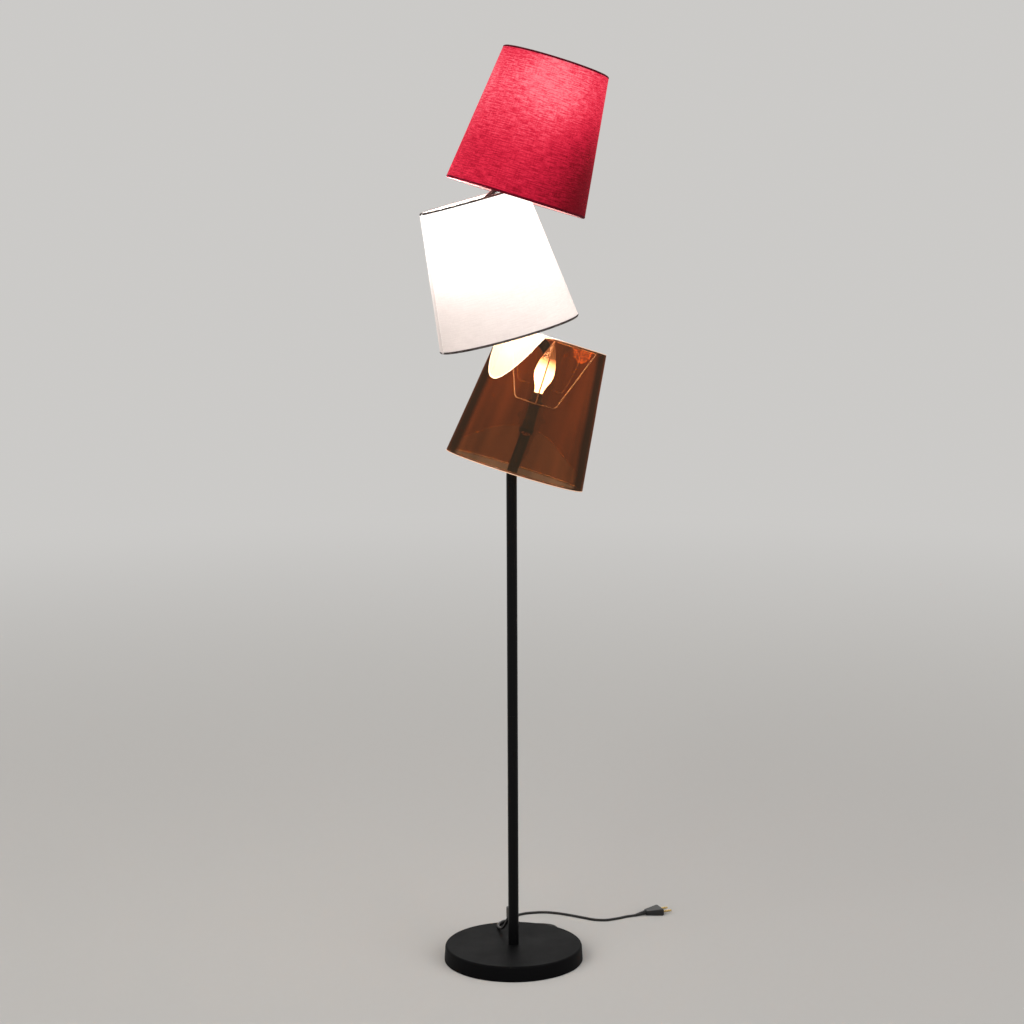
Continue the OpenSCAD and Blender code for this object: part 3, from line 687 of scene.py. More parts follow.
@dataclass(frozen=True)
class LitGlass(SurfaceFinish):
    """A lit bulb's glass: blinding beside the filament, clearer towards the drawn-out tip.

    What lies round it gets only cast_share of that light, since each bulb has a light of its own.
    """

    place: LampPlace
    base: Colour = (0.1, 0.09, 0.075)
    colour: Colour = (1.0, 0.9, 0.76)
    tip_colour: Colour = (0.8, 0.5, 0.32)
    clear_tint: Colour = (1.0, 0.98, 0.94)
    strength: float = 40.0
    tip_strength: float = 1.5
    cast_share: float = 0.12
    tip_from: float = 0.42
    tip_to: float = 0.68
    swirl_scale: float = 55.0

    @property
    def name(self) -> str:
        """The material's name."""
        return f"bulb_glass_{self.place.name}"

    def surface(self, sketch: ShaderSketch) -> Socket:
        """Lights the glass and clears its tip, along the bulb's own axis.

        Args:
            sketch: the material's tree.

        Returns:
            The surface shader.
        """
        frame = self.place.matrix()
        own = sketch.out("Mapping", {
            0: sketch.add("TexCoord").outputs["Object"],
            "Location": tuple(frame.translation), "Rotation": tuple(frame.to_euler("XYZ")),
        }, vector_type="TEXTURE")
        along = sketch.add("SeparateXYZ", {0: own}).outputs[2]
        up = sketch.spread(along, BULB.at(self.tip_from), BULB.at(self.tip_to))
        shine = sketch.between(up, self.strength, self.tip_strength)
        gloss = sketch.out("BsdfPrincipled", {
            "Base Color": self.base,
            "Roughness": sketch.spread(sketch.noise(own, self.swirl_scale, 2.0), 0.3, 0.7, 0.04, 0.1),
            "Emission Color": sketch.blend(up, self.colour, self.tip_colour),
            "Emission Strength": sketch.math(
                "MULTIPLY", shine, sketch.between(sketch.ray("Diffuse"), 1.0, self.cast_share)),
        })
        see_through = sketch.math("MAXIMUM", sketch.ray("Shadow"), sketch.between(up, 0.15, 0.62))
        sketch.material.cycles.emission_sampling = "NONE"
        return sketch.mixed(see_through, gloss, sketch.clear(self.clear_tint))


@dataclass(frozen=True)
class HotWire(SurfaceFinish):
    """The filament sticks: bright, with hotter beads along them."""

    name: str = "filament"
    base: Colour = (0.9, 0.7, 0.4)
    colour: Colour = (1.0, 0.85, 0.62)
    bead_colour: Colour = (1.0, 0.92, 0.75)
    strength: float = 60.0
    bead_scale: float = 900.0

    def surface(self, sketch: ShaderSketch) -> Socket:
        """Lights the sticks, which cast no shadow on their own glass.

        Args:
            sketch: the material's tree.

        Returns:
            The surface shader.
        """
        beads = sketch.noise(sketch.place(), self.bead_scale, 1.0)
        hot = sketch.out("BsdfPrincipled", {
            "Base Color": self.base,
            "Roughness": 0.4,
            "Emission Color": sketch.blend(beads, self.colour, self.bead_colour),
            "Emission Strength": self.strength,
        })
        sketch.material.cycles.emission_sampling = "NONE"
        return sketch.mixed(sketch.ray("Shadow"), hot, sketch.clear())


class Finish(Enum):
    """One finish for each of the record's material slots."""

    BLACK_PAINT = "black_paint"
    CAST_IRON = "cast_iron"
    FELT = "felt"
    STEEL = "steel"
    NICKEL = "nickel"
    BRASS = "brass"
    BLACK_PLASTIC = "black_plastic"
    WHITE_WIRE = "white_wire"
    COPPER_FILM = "copper_film"
    WHITE_FABRIC = "white_fabric"
    RED_FABRIC = "red_fabric"
    BULB_GLASS = "bulb_glass"
    FILAMENT = "filament"
    CORD_PVC = "cord_pvc"


Dressing = dict[Finish, Material]

# The glow ramps below are painted light: the colours of the bulb's light through each cloth, from unlit to
# lit.
RED_CLOTH = WovenShadeCloth(
    name="red_fabric",
    colour=(0.1, 0.002, 0.009),
    slub_colour=(0.05, 0.001, 0.004),
    glow=(
        (0.0, (0.012, 0.0002, 0.0006)), (0.2, (0.13, 0.001, 0.006)), (0.42, (0.55, 0.012, 0.042)),
        (0.6, (0.84, 0.04, 0.085)), (0.76, (1.0, 0.12, 0.18)), (0.95, (1.0, 0.28, 0.33)),
    ),
    slub=0.3,
    scattered=(0.5, 0.02, 0.05),
    sheen=(0.9, 0.01, 0.06),
)
WHITE_CLOTH = WovenShadeCloth(
    name="white_fabric",
    colour=(0.5, 0.47, 0.46),
    slub_colour=(0.46, 0.43, 0.42),
    glow=(
        (0.0, (0.02, 0.01, 0.01)), (0.15, (0.28, 0.22, 0.205)), (0.3, (0.5, 0.42, 0.4)),
        (0.48, (0.72, 0.655, 0.64)), (0.74, WHITE),
    ),
    slub=0.05,
    scattered=(0.8, 0.78, 0.75),
)
FILM_OUTSIDE = HalfMirrorFilm(
    name="copper_film",
    tint=(0.33, 0.148, 0.07),
    side_shade_tint=(0.03, 0.01, 0.005),
    mirror=(1.0, 0.7, 0.45),
    mirror_share=0.05,
    grazing_share=0.08,
    roughness=0.03,
)
FILM_INSIDE = HalfMirrorFilm(
    name="copper_film_inside",
    tint=(0.34, 0.15, 0.07),
    side_shade_tint=(0.1, 0.035, 0.016),
    mirror=(1.0, 0.62, 0.36),
    mirror_share=0.3,
    grazing_share=0.5,
    roughness=0.05,
    glow=(0.26, 0.085, 0.022),
)
# The liners' glows are painted light, and their in_mirrors numbers make painted reflections.
RED_LINER = ShadeLiner("red_liner", (0.74, 0.44, 0.43), (0.9, 0.34, 0.33), 6.0)
WHITE_LINER = ShadeLiner("white_liner", (0.86, 0.83, 0.8), (1.65, 1.6, 1.52), 85.0)
RED_HEM = TurnedEdge("red_hem", (0.1, 0.002, 0.01), (0.15, 0.003, 0.015))
# The white hem is painted dark brown-grey: painted shade of the rolled edge, which no light comes through.
WHITE_HEM = TurnedEdge("white_hem", (0.05, 0.036, 0.033), (0.09, 0.07, 0.065))
POLE_PAINT = PaintedMetal(
    "pole_paint", (0.004, 0.004, 0.0045), (0.03, 0.028, 0.026), 0.3, scuffs=0.2, specular=0.1,
)
FINISHES: dict[Finish, SurfaceFinish] = {
    Finish.BLACK_PAINT: PaintedMetal(
        "black_paint", (0.0045, 0.0045, 0.005), (0.03, 0.029, 0.028), 0.5, scuffs=0.2, specular=0.04),
    Finish.CAST_IRON: BareMetal(
        "cast_iron", (0.09, 0.088, 0.085), (0.16, 0.1, 0.07), 0.7, 0.4, grain_depth=0.5 * MM),
    Finish.FELT: PressedFelt(),
    Finish.STEEL: BareMetal("steel", (0.56, 0.56, 0.57), (0.42, 0.42, 0.4), 0.34),
    Finish.NICKEL: BareMetal("nickel", (0.7, 0.69, 0.66), (0.55, 0.52, 0.47), 0.24),
    Finish.BRASS: BareMetal("brass", (0.72, 0.52, 0.22), (0.5, 0.33, 0.13), 0.26),
    Finish.BLACK_PLASTIC: MouldedPlastic(
        "black_plastic", (0.012, 0.012, 0.013), (0.025, 0.024, 0.023), 0.42, 1500.0),
    Finish.WHITE_WIRE: PaintedMetal(
        "white_wire", (0.8, 0.77, 0.72), (0.55, 0.5, 0.44), 0.42, 1400.0, 0.02 * MM),
    Finish.COPPER_FILM: FILM_OUTSIDE,
    Finish.WHITE_FABRIC: WHITE_CLOTH,
    Finish.RED_FABRIC: RED_CLOTH,
    Finish.BULB_GLASS: LitGlass(LOWER),
    Finish.FILAMENT: HotWire(),
    Finish.CORD_PVC: MouldedPlastic(
        "cord_pvc", (0.012, 0.011, 0.011), (0.026, 0.023, 0.021), 0.38, 700.0),
}


# ---------------------------------------------------------------- meshes
def set_down(name: str, data: Any) -> Piece:
    """Makes an object of some data and puts it into the scene.

    Args:
        name: the object's name.
        data: its mesh, curve, light or camera.

    Returns:
        The object.
    """
    thing = bpy.data.objects.new(name, data)
    bpy.context.scene.collection.objects.link(thing)
    return thing


def new_piece(name: str, mesh: Mesh, body: str) -> Piece:
    """Puts a finished mesh into the scene as a piece.

    Args:
        name: the piece's name.
        mesh: its mesh, already dressed and in place in the row frame.
        body: the CAD body that it rides on.

    Returns:
        The piece's object.
    """
    piece = set_down(name, mesh)
    mesh.shade_smooth()
    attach(piece, body)
    log.info("%s rides on %s, %d faces", name, body, len(mesh.polygons))
    return piece


def carry_glow(mesh: Mesh, light: np.ndarray) -> None:
    """Writes the bulb's light at each point of a mesh, for its finish to read."""
    # The glow is painted light: the bulb's light on the mesh, worked out here and not rendered.
    attribute = mesh.attributes.new("glow", "FLOAT", "POINT")
    attribute.data.foreach_set("value", light.astype(np.float32))


class GeometrySketch(NodeSketch):
    """A Geometry Nodes tree with named inputs, run once on an empty mesh."""

    family: ClassVar[str] = "GeometryNode"

    def __init__(self, name: str, finish: Material, inputs: dict[str, float | int]) -> None:
        """Starts a tree.

        Args:
            name: the tree's name, which its mesh gets too.
            finish: the material of its mesh.
            inputs: each named input with its number.
        """
        super().__init__(bpy.data.node_groups.new(name, "GeometryNodeTree"))
        face = self.tree.interface
        for side in ("INPUT", "OUTPUT"):
            face.new_socket("Geometry", in_out=side, socket_type="NodeSocketGeometry")
        self.values: dict[str, Any] = {}
        for label, value in {**inputs, "Finish": finish}.items():
            kind = {int: "Int", float: "Float"}.get(type(value), "Material")
            socket = face.new_socket(label, in_out="INPUT", socket_type="NodeSocket" + kind)
            self.values[socket.identifier] = value
        self.source = self.add("NodeGroupInput")

    def given(self, label: str) -> Socket:
        """The socket of a named input."""
        return self.source.outputs[label]

    def circle(self, radius: Socket, steps: int | Socket) -> Socket:
        """A round curve."""
        return self.out("CurvePrimitiveCircle", {"Resolution": steps, "Radius": radius})

    def raised(self, shape: Socket, height: Socket) -> Socket:
        """A shape moved up along its axis."""
        move = self.out("ShaderNodeCombineXYZ", {2: height})
        return self.out("Transform", {0: shape, "Translation": move})

    def mesh(self, shape: Socket, placed: Matrix) -> Mesh:
        """Runs the tree.

        Args:
            shape: the socket that holds the shape.
            placed: the shape's place in the row frame.

        Returns:
            The shape as a plain mesh, with the modifier gone.
        """
        real = self.out("RealizeInstances", {0: shape})
        painted = self.out("SetMaterial", {"Geometry": real, "Material": self.given("Finish")})
        self.add("NodeGroupOutput", {0: painted})
        name = self.tree.name
        carrier = set_down(f"{name}_tree", bpy.data.meshes.new(f"{name}_tree"))
        modifier = carrier.modifiers.new("shape", "NODES")
        modifier.node_group = self.tree
        for identifier, value in self.values.items():
            modifier[identifier] = value
        depsgraph = bpy.context.evaluated_depsgraph_get()
        mesh = bpy.data.meshes.new_from_object(carrier.evaluated_get(depsgraph))
        carrier.modifiers.remove(modifier)
        bpy.data.objects.remove(carrier)
        mesh.name = name
        mesh.transform(placed)
        return mesh


@dataclass(frozen=True)
class ScrewRidge:
    """A thread's ridge, wound round a cylinder, whose foot reaches a little into the cylinder."""

    radius: float
    start: float
    end: float
    pitch: float
    depth: float
    steps_a_turn: int = 40
    corners: int = 5

    def mesh(self, name: str, finish: Material, placed: Matrix) -> Mesh:
        """Winds the ridge.

        Args:
            name: the mesh's name.
            finish: its finish.
            placed: the axis's frame in the row frame.

        Returns:
            The ridge's closed mesh.
        """
        sketch = GeometrySketch(name, finish, {
            "Radius": self.radius, "Start": self.start, "Length": self.end - self.start,
            "Pitch": self.pitch, "Depth": self.depth, "Steps a turn": self.steps_a_turn,
        })
        length, radius = sketch.given("Length"), sketch.given("Radius")
        helix = sketch.out("CurveSpiral", {
            "Resolution": sketch.given("Steps a turn"),
            "Rotations": sketch.math("DIVIDE", length, sketch.given("Pitch")),
            "Start Radius": radius, "End Radius": radius, "Height": length,
        })
        ridge = sketch.circle(sketch.given("Depth"), self.corners)
        swept = sketch.out("CurveToMesh", {0: helix, 1: ridge, "Fill Caps": True})
        return sketch.mesh(sketch.raised(swept, sketch.given("Start")), placed)


@dataclass(frozen=True)
class RolledHem:
    """What is rolled round a wire ring, with the small puckers of a turned edge."""

    radius: float
    height: float
    roll: float
    pucker: float
    steps: int = 260
    corners: int = 14
    pucker_scale: float = 190.0
    seed: int = 7

    def mesh(self, name: str, finish: Material, placed: Matrix) -> Mesh:
        """Rolls the hem.

        Args:
            name: the mesh's name.
            finish: its finish.
            placed: the shade's frame in the row frame.

        Returns:
            The roll's closed mesh.
        """
        sketch = GeometrySketch(name, finish, {
            "Ring": self.radius, "Height": self.height, "Roll": self.roll, "Pucker": self.pucker,
            "Pucker scale": self.pucker_scale, "Steps": self.steps, "Seed": self.seed,
        })
        path = sketch.circle(sketch.given("Ring"), sketch.given("Steps"))
        profile = sketch.circle(sketch.given("Roll"), self.corners)
        swept = sketch.out("CurveToMesh", {0: path, 1: profile})
        crease = sketch.out("ShaderNodeTexNoise", {
            "Scale": sketch.given("Pucker scale"), "W": sketch.given("Seed"), "Detail": 2.0,
        }, noise_dimensions="4D")
        away = sketch.math("MULTIPLY", sketch.math("SUBTRACT", crease, 0.5), sketch.given("Pucker"))
        normal = sketch.out("InputNormal")
        push = sketch.out("ShaderNodeVectorMath", {0: normal, "Scale": away}, operation="SCALE")
        creased = sketch.out("SetPosition", {0: swept, "Offset": push})
        return sketch.mesh(sketch.raised(creased, sketch.given("Height")), placed)


# ---------------------------------------------------------------- shades
@dataclass(frozen=True)
class ShadeGlow:
    """How brightly a bulb on the shade's axis lights the inside of the wall.

    All of its light is painted. The tilt paints the low left side brighter than the low right,
    as a painted pool of light. The three bright lobes lie between the carrier's arms, whose
    painted shadows make the gaps.
    """

    bounced: float = 0.1
    tilt: float = 0.0
    between_arms: float = 0.0
    arm_turn: float = 7.0
    arms: int = 3
    points: int = 5
    first_point: float = BULB.low + 20 * MM
    last_point: float = BULB.high - 25 * MM
    sizes: ShadeSizes = SHADE

    def at(self, turn: np.ndarray, along: np.ndarray) -> np.ndarray:
        """Light on the wall, from 0 to 1.

        Args:
            turn: the angle round the axis of each point, 0 to the right and a quarter turn back.
            along: its height along the axis.

        Returns:
            The light at each point.
        """
        radius = self.sizes.radius(along)
        total = np.zeros_like(radius)
        for source in np.linspace(self.first_point, self.last_point, self.points):
            distance = np.sqrt(radius ** 2 + (along - source) ** 2)
            total = total + radius / distance ** 3 / self.points
        share = total * self.sizes.upper_radius ** 2
        low = 1.0 - along / self.sizes.height
        lobe = 0.5 + 0.5 * np.cos(self.arms * (turn + 0.5 * math.pi - math.radians(self.arm_turn)))
        # Painted pool of light on the low left side, and painted shadows of the carrier's arms between the
        # lobes.
        side = 1.0 - self.tilt * np.cos(turn) * low - self.between_arms * (1.0 - lobe)
        return np.clip((self.bounced + (1.0 - self.bounced) * share) * side, 0, 1)


@dataclass(frozen=True)
class RolledSheet:
    """A sheet rolled into a cone whose end lies over its start, as a closed thin solid."""

    seam_turn: float
    glow: ShadeGlow
    thickness: float
    rim_inset: float = 0.0
    outset: float = 0.0
    overlap: float = 0.0
    lift: float = 0.0
    waviness: float = 0.18 * MM
    doubled_share: float = 0.8
    step_angle: float = 0.02
    seam_angle: float = 0.004
    columns: int = 216
    rows: int = 60
    sizes: ShadeSizes = SHADE

    @property
    def spare(self) -> float:
        """The angle by which the sheet goes round more than once."""
        return self.overlap / self.sizes.lower_radius

    def grid(self, inset: float) -> tuple[np.ndarray, np.ndarray, np.ndarray]:
        """One face of the sheet.

        Args:
            inset: how far it lies inside the sheet's outer face.

        Returns:
            Its points, and the angle and height of each.
        """
        rolled = np.linspace(0, 2 * math.pi + self.spare, self.columns + 1)[None, :]
        along = np.linspace(self.rim_inset, self.sizes.height - self.rim_inset, self.rows + 1)[:, None]
        share = along / self.sizes.height
        over = np.clip((rolled - 2 * math.pi + self.step_angle) / self.step_angle, 0, 1)
        wave = np.sin(3 * rolled + 1.3) * np.sin(5 * share * math.pi)
        wave = wave + 0.6 * np.sin(7 * rolled) * np.sin(2 * math.pi * share)
        fade = np.sin(math.pi * np.clip(share, 0, 1))
        radius = self.sizes.radius(along) + self.outset - inset
        radius = radius + over * self.lift + self.waviness * wave * fade
        turn = rolled + math.radians(self.seam_turn) - 2 * math.pi
        points = np.stack([radius * np.cos(turn), radius * np.sin(turn), along + 0 * turn], axis=-1)
        return points, np.broadcast_to(turn, radius.shape), np.broadcast_to(along, radius.shape)

    @staticmethod
    def quads(rows: int, columns: int) -> np.ndarray:
        """Joins two equal grids into a closed thin solid.

        Args:
            rows: how many rows of points each grid has.
            columns: how many points lie in a row.

        Returns:
            The corners of each face: the outer face's first, then the inner face's, then the rims'.
        """
        index = np.arange(rows * columns).reshape(rows, columns)
        a, b, c, d = index[:-1, :-1], index[:-1, 1:], index[1:, 1:], index[1:, :-1]
        far = rows * columns
        faces = [np.stack([a, b, c, d], -1).reshape(-1, 4), np.stack([a, d, c, b], -1).reshape(-1, 4) + far]
        for line in (index[0, ::-1], index[-1], index[:, 0], index[::-1, -1]):
            faces.append(np.stack([line[:-1], line[1:], line[1:] + far, line[:-1] + far], -1))
        return np.concatenate(faces)

    def mesh(self, name: str, placed: Matrix, outside: Material, inside: Material) -> Mesh:
        """The sheet's mesh, with its cloth map in metres and its glow.

        Args:
            name: the mesh's name.
            placed: the shade's frame in the row frame.
            outside: the finish of its outer face.
            inside: the finish of its inner face and its edges.

        Returns:
            The closed mesh.
        """
        outer, turn, along = self.grid(0.0)
        inner, _, _ = self.grid(self.thickness)
        rows, columns = outer.shape[:2]
        faces = self.quads(rows, columns)
        mesh = bpy.data.meshes.new(name)
        mesh.from_pydata(np.concatenate([outer, inner]).reshape(-1, 3).tolist(), [], faces.tolist())
        for material in (outside, inside):
            mesh.materials.append(material)
        slots = np.ones(len(faces), np.int32)
        slots[:(rows - 1) * (columns - 1)] = 0
        mesh.polygons.foreach_set("material_index", slots)
        middle = 0.5 * (self.sizes.lower_radius + self.sizes.upper_radius)
        cloth = np.tile(np.stack([turn * middle, along], -1).reshape(-1, 2), (2, 1))
        loops = np.empty(len(mesh.loops), np.int32)
        mesh.loops.foreach_get("vertex_index", loops)
        layer = mesh.uv_layers.new(name="cloth")
        layer.data.foreach_set("uv", cloth[loops].astype(np.float32).ravel())
        # Painted shade: the glow is lower where the sheet lies doubled at its seam.
        rolled = turn - math.radians(self.seam_turn) + 2 * math.pi
        doubled = (rolled > 2 * math.pi - self.seam_angle) | (rolled < self.spare)
        light = self.glow.at(turn, along) * np.where(doubled, self.doubled_share, 1.0)
        carry_glow(mesh, np.tile(light.ravel(), 2))
        mesh.validate()
        mesh.transform(placed)
        return mesh


@dataclass(frozen=True)
class Shade:
    """What the cloth shades and the film shade have in common."""

    place: LampPlace
    slot: Finish
    glow: ShadeGlow

    def add(self, label: str, maker: RolledSheet | RolledHem, *finishes: Material) -> Piece:
        """Adds one sheet or roll, which turns with the shade.

        Args:
            label: what it is called after the shade's name.
            maker: what makes its mesh.
            *finishes: a sheet's two finishes, or a roll's one.

        Returns:
            The piece.
        """
        name = self.place.node(f"shade_{label}")
        frame = self.place.matrix()
        if isinstance(maker, RolledSheet):
            mesh = maker.mesh(name, frame, *finishes)
        else:
            mesh = maker.mesh(name, *finishes, frame)
        return new_piece(name, mesh, self.place.node("shade_set"))


@dataclass(frozen=True)
class ClothShade(Shade):
    """A cloth shade: the woven sheet, its stiff liner and the two rolled hems."""

    liner: ShadeLiner
    hem: TurnedEdge
    cloth_thickness: float = 0.32 * MM
    cloth_lift: float = 0.38 * MM
    cloth_inset: float = 0.6 * MM
    liner_depth: float = 0.36 * MM
    liner_inset: float = 2.5 * MM
    liner_seam_turn: float = 3.0
    hem_radius: float = 2.65 * MM
    hem_pucker: float = 0.4 * MM
    lining_from: float = 0.45
    lining_glow: float = 0.4
    sizes: ShadeSizes = SHADE

    def line_hem(self, mesh: Mesh, ring_radius: float, lining: Material) -> None:
        """Gives the inner faces of a hem the shade's lining.

        Args:
            mesh: the hem's mesh, in place.
            ring_radius: the radius of the wire ring inside it.
            lining: the lining's finish.
        """
        mesh.materials.append(lining)
        back = self.place.matrix().inverted()
        within = ring_radius - self.lining_from * self.hem_radius
        for face in mesh.polygons:
            face.material_index = int((back @ face.center).xy.length < within)
        # Painted light: the hem carries an even glow that its lining gives out.
        carry_glow(mesh, np.full(len(mesh.vertices), self.lining_glow))

    def build(self, dressed: Dressing) -> None:
        """Makes the shade's pieces.

        Args:
            dressed: the material of each finish.
        """
        lining, edging = self.liner.material(), self.hem.material()
        cloth = RolledSheet(
            self.place.seam_turn, self.glow, self.cloth_thickness, self.cloth_inset,
            overlap=self.sizes.overlap, lift=self.cloth_lift,
        )
        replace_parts(self.add("cloth", cloth, dressed[self.slot], lining), self.place.node("shade"))
        backing = RolledSheet(
            self.place.seam_turn + self.liner_seam_turn, self.glow, self.liner_depth, self.liner_inset,
            outset=-self.liner_depth,
        )
        self.add("liner", backing, lining, lining)
        for label, top in (("lower_hem", False), ("upper_hem", True)):
            radius, height = self.sizes.ring(top)
            piece = self.add(label, RolledHem(radius, height, self.hem_radius, self.hem_pucker), edging)
            self.line_hem(piece.data, radius, lining)


@dataclass(frozen=True)
class FilmShade(Shade):
    """The half-mirror shade: one sheet of film, bonded to the outside of its two rings."""

    inside: HalfMirrorFilm
    thickness: float = 0.5 * MM
    lift: float = 0.55 * MM
    waviness: float = 0.25 * MM
    edge_radius: float = 0.7 * MM
    sizes: ShadeSizes = SHADE

    def build(self, dressed: Dressing) -> None:
        """Makes the shade's sheet and its two bonded edges.

        Args:
            dressed: the material of each finish.
        """
        edging = FilmEdge().material()
        film = RolledSheet(
            self.place.seam_turn, self.glow, self.thickness,
            overlap=self.sizes.overlap, lift=self.lift, waviness=self.waviness,
        )
        sheet = self.add("film", film, dressed[self.slot], self.inside.material())
        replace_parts(sheet, self.place.node("shade"))
        for label, along in (("lower_edge", 0.0), ("upper_edge", self.sizes.height)):
            radius = self.sizes.radius(along) - self.edge_radius / 2
            self.add(label, RolledHem(radius, along, self.edge_radius, 0.0), edging)


# ---------------------------------------------------------------- cord
@dataclass
class MainsCord:
    """The free mains cord: down over the base's rear edge, into a hank, and out to the plug.

    Its sizes and points are in millimetres, as in the frame's source, and its length is in metres.
    """

    diameter: float = 5.0
    step: float = 6.0
    layer_step: float = 5.6
    fold_radius: float = 16.0
    run: float = 100.0
    hank_radius: float = 152.1
    hank_turn: float = 4.0
    floor_gap: float = 0.1
    tie_lift: float = 1.5
    loops_from: float = 0.32
    loops_to: float = 3.5
    run_share: float = 0.32
    length: float = 1.58
    hank_steps: int = 300
    route_steps: int = 5
    start_route: tuple[Point, ...] = (
        (-11.1, 30.4, 61.6), (-13.5, 37.5, 54.5), (-17, 48, 45), (-21, 60, 37), (-25, 73, 32.5),
        (-28, 86, 30.7), (-28.5, 96.5, 30.7), (-26, 106.5, 30.7), (-20.5, 115.2, 30.7), (-12, 122, 30.6),
        (-2, 126.3, 28.9), (8.5, 128.3, 24.6), (19, 128.7, 18.8), (29.5, 127.5, 13.4), (40, 124.8, 9.8),
    )
    end_route: tuple[Point, ...] = (
        (52, 166.5, 2.6), (37, 172, 2.6), (22, 177, 2.6), (9.5, 184.5, 2.6), (2, 196, 2.6),
        (-0.5, 210, 2.6), (1.5, 225, 2.6), (9.5, 238, 2.6), (21.5, 246, 2.6), (38, 251, 2.6),
        (60, 253.5, 2.6), (86, 247, 2.6), (110, 235, 2.6), (136, 219.5, 2.6), (156, 208, 2.6),
        (178, 205, 2.6), (202, 215, 2.6), (220, 226, 2.6), (236, 232, 2.6),
    )

    def move(self, loops: float, run: float, start: float, end: float) -> float:
        """A move from 0 to 1 along one run of the hank, which starts and ends softly.

        Args:
            loops: how many loops have been wound.
            run: the loops after which the run begins.
            start: the share of the run at which the move starts.
            end: the share at which it ends.

        Returns:
            How much of the move is done.
        """
        share = ((loops - run) / self.run_share - start) / (end - start)
        share = min(1.0, max(0.0, share))
        return share * share * (3 - 2 * share)

    def hank_point(self, loops: float) -> Point:
        """One point of the hank's centreline.

        Args:
            loops: how many loops have been wound.

        Returns:
            The point, in millimetres.
        """
        across = 1 - self.move(loops, 0.5, 0.55, 1) + self.move(loops, 2.5, 0, 0.45)
        layer = 1 - self.move(loops, 1.5, 0.3, 0.7)
        part = loops % 1.0
        radius = self.fold_radius + across * self.step
        waist = (across + 0.5) * self.step
        half, side = (part, -1) if part < 0.5 else (part - 0.5, 1)
        lift = 0.0
        if half < self.run_share:
            pull = (1 - math.cos(2 * math.pi * half / self.run_share)) / 2
            flat_x = -side * self.run * (half / self.run_share - 0.5)
            flat_y = side * (radius - (radius - waist) * pull)
            lift = self.tie_lift * pull
        else:
            swing = math.pi * (half - self.run_share) / (0.5 - self.run_share)
            flat_x = -side * (self.run / 2 + radius * math.sin(swing))
            flat_y = side * radius * math.cos(swing)
        turn = math.radians(self.hank_turn) + flat_x / self.hank_radius
        reach = self.hank_radius + flat_y
        height = self.diameter / 2 + self.floor_gap + layer * self.layer_step + lift
        return reach * math.sin(turn), reach * math.cos(turn), height

    def smooth(self, route: Sequence[Point]) -> list[Vector]:
        """A smooth line through a route's points.

        Args:
            route: the points.

        Returns:
            The points of the line.
        """
        ends = [Vector(p) for p in route]
        knots = [2 * ends[0] - ends[1], *ends, 2 * ends[-1] - ends[-2]]
        line = []
        for a, b, c, d in zip(knots, knots[1:], knots[2:], knots[3:]):
            for k in range(self.route_steps):
                p = k / self.route_steps
                line.append(0.5 * (2 * b + (c - a) * p + (2 * a - 5 * b + 4 * c - d) * p ** 2
                                   + (3 * b - a - 3 * c + d) * p ** 3))
        return line + [ends[-1]]

    def centreline(self) -> list[Vector]:
        """Joins the two routes and the hank.

        Returns:
            The whole cord's centreline in metres, from the strain relief to the plug.
        """
        step = (self.loops_to - self.loops_from) / self.hank_steps
        wound = [Vector(self.hank_point(self.loops_from + step * k)) for k in range(self.hank_steps + 1)]
        down = self.smooth([*self.start_route, wound[0]])
        away = self.smooth([wound[-1], *self.end_route])
        return [p * MM for p in down[:-1] + wound + away[1:]]

    def build(self, sheath: Material) -> None:
        """Args:
            sheath: the finish of its sheath.
        """
        line = self.centreline()
        curve = bpy.data.curves.new("mains_cord", "CURVE")
        curve.dimensions = "3D"
        curve.bevel_depth = self.diameter / 2 * MM
        curve.bevel_resolution = 3
        curve.use_fill_caps = True
        spline = curve.splines.new("POLY")
        spline.points.add(len(line) - 1)
        for point, at in zip(spline.points, line):
            point.co = (*at, 1.0)
        spline.use_smooth = True
        curve.materials.append(sheath)
        cord = set_down("mains_cord", curve)
        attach(cord, "stand")
        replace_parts(cord, "cord_start", "cord_hank", "cord_end")
        length = sum((b - a).length for a, b in zip(line, line[1:]))
        log.info("mains_cord is %.3f m long", length)


# ---------------------------------------------------------------- threads
@dataclass(frozen=True)
class ScrewThreads:
    """The threads that show on one lamp's holder sleeve and on its nipple."""

    place: LampPlace
    sleeve: ScrewRidge = ScrewRidge(9.2 * MM, 130.6 * MM, 142.0 * MM, 2.5 * MM, 0.55 * MM)
    nipple: ScrewRidge = ScrewRidge(4.9 * MM, 65.6 * MM, 66.6 * MM, 0.5 * MM, 0.3 * MM)

    def build(self, dressed: Dressing) -> None:
        """Makes the ridges.

        Args:
            dressed: the material of each finish.
        """
        rows = (
            ("sleeve_thread", self.sleeve, Finish.BLACK_PLASTIC),
            ("nipple_thread", self.nipple, Finish.BRASS),
        )
        for label, ridge, slot in rows:
            name = self.place.node(label)
            new_piece(name, ridge.mesh(name, dressed[slot], self.place.matrix()), "stand")


# ---------------------------------------------------------------- studio
@dataclass(frozen=True)
class SoftLight:
    """One large soft light that faces the lamp. The film and the paint mirror it only if asked."""

    name: str
    place: Point
    size: float
    watts: float
    colour: Colour
    shows_in_gloss: bool = False
    aim: Point = (0.0, 0.0, 0.9)

    def hang(self) -> None:
        """Hangs the light."""
        data = bpy.data.lights.new(self.name, "AREA")
        data.shape = "SQUARE"
        data.size = self.size
        data.energy = self.watts
        data.color = self.colour
        light = set_down(self.name, data)
        light.location = self.place
        light.rotation_euler = (Vector(self.aim) - Vector(self.place)).to_track_quat("-Z", "Y").to_euler()
        light.visible_camera = False
        light.visible_glossy = self.shows_in_gloss


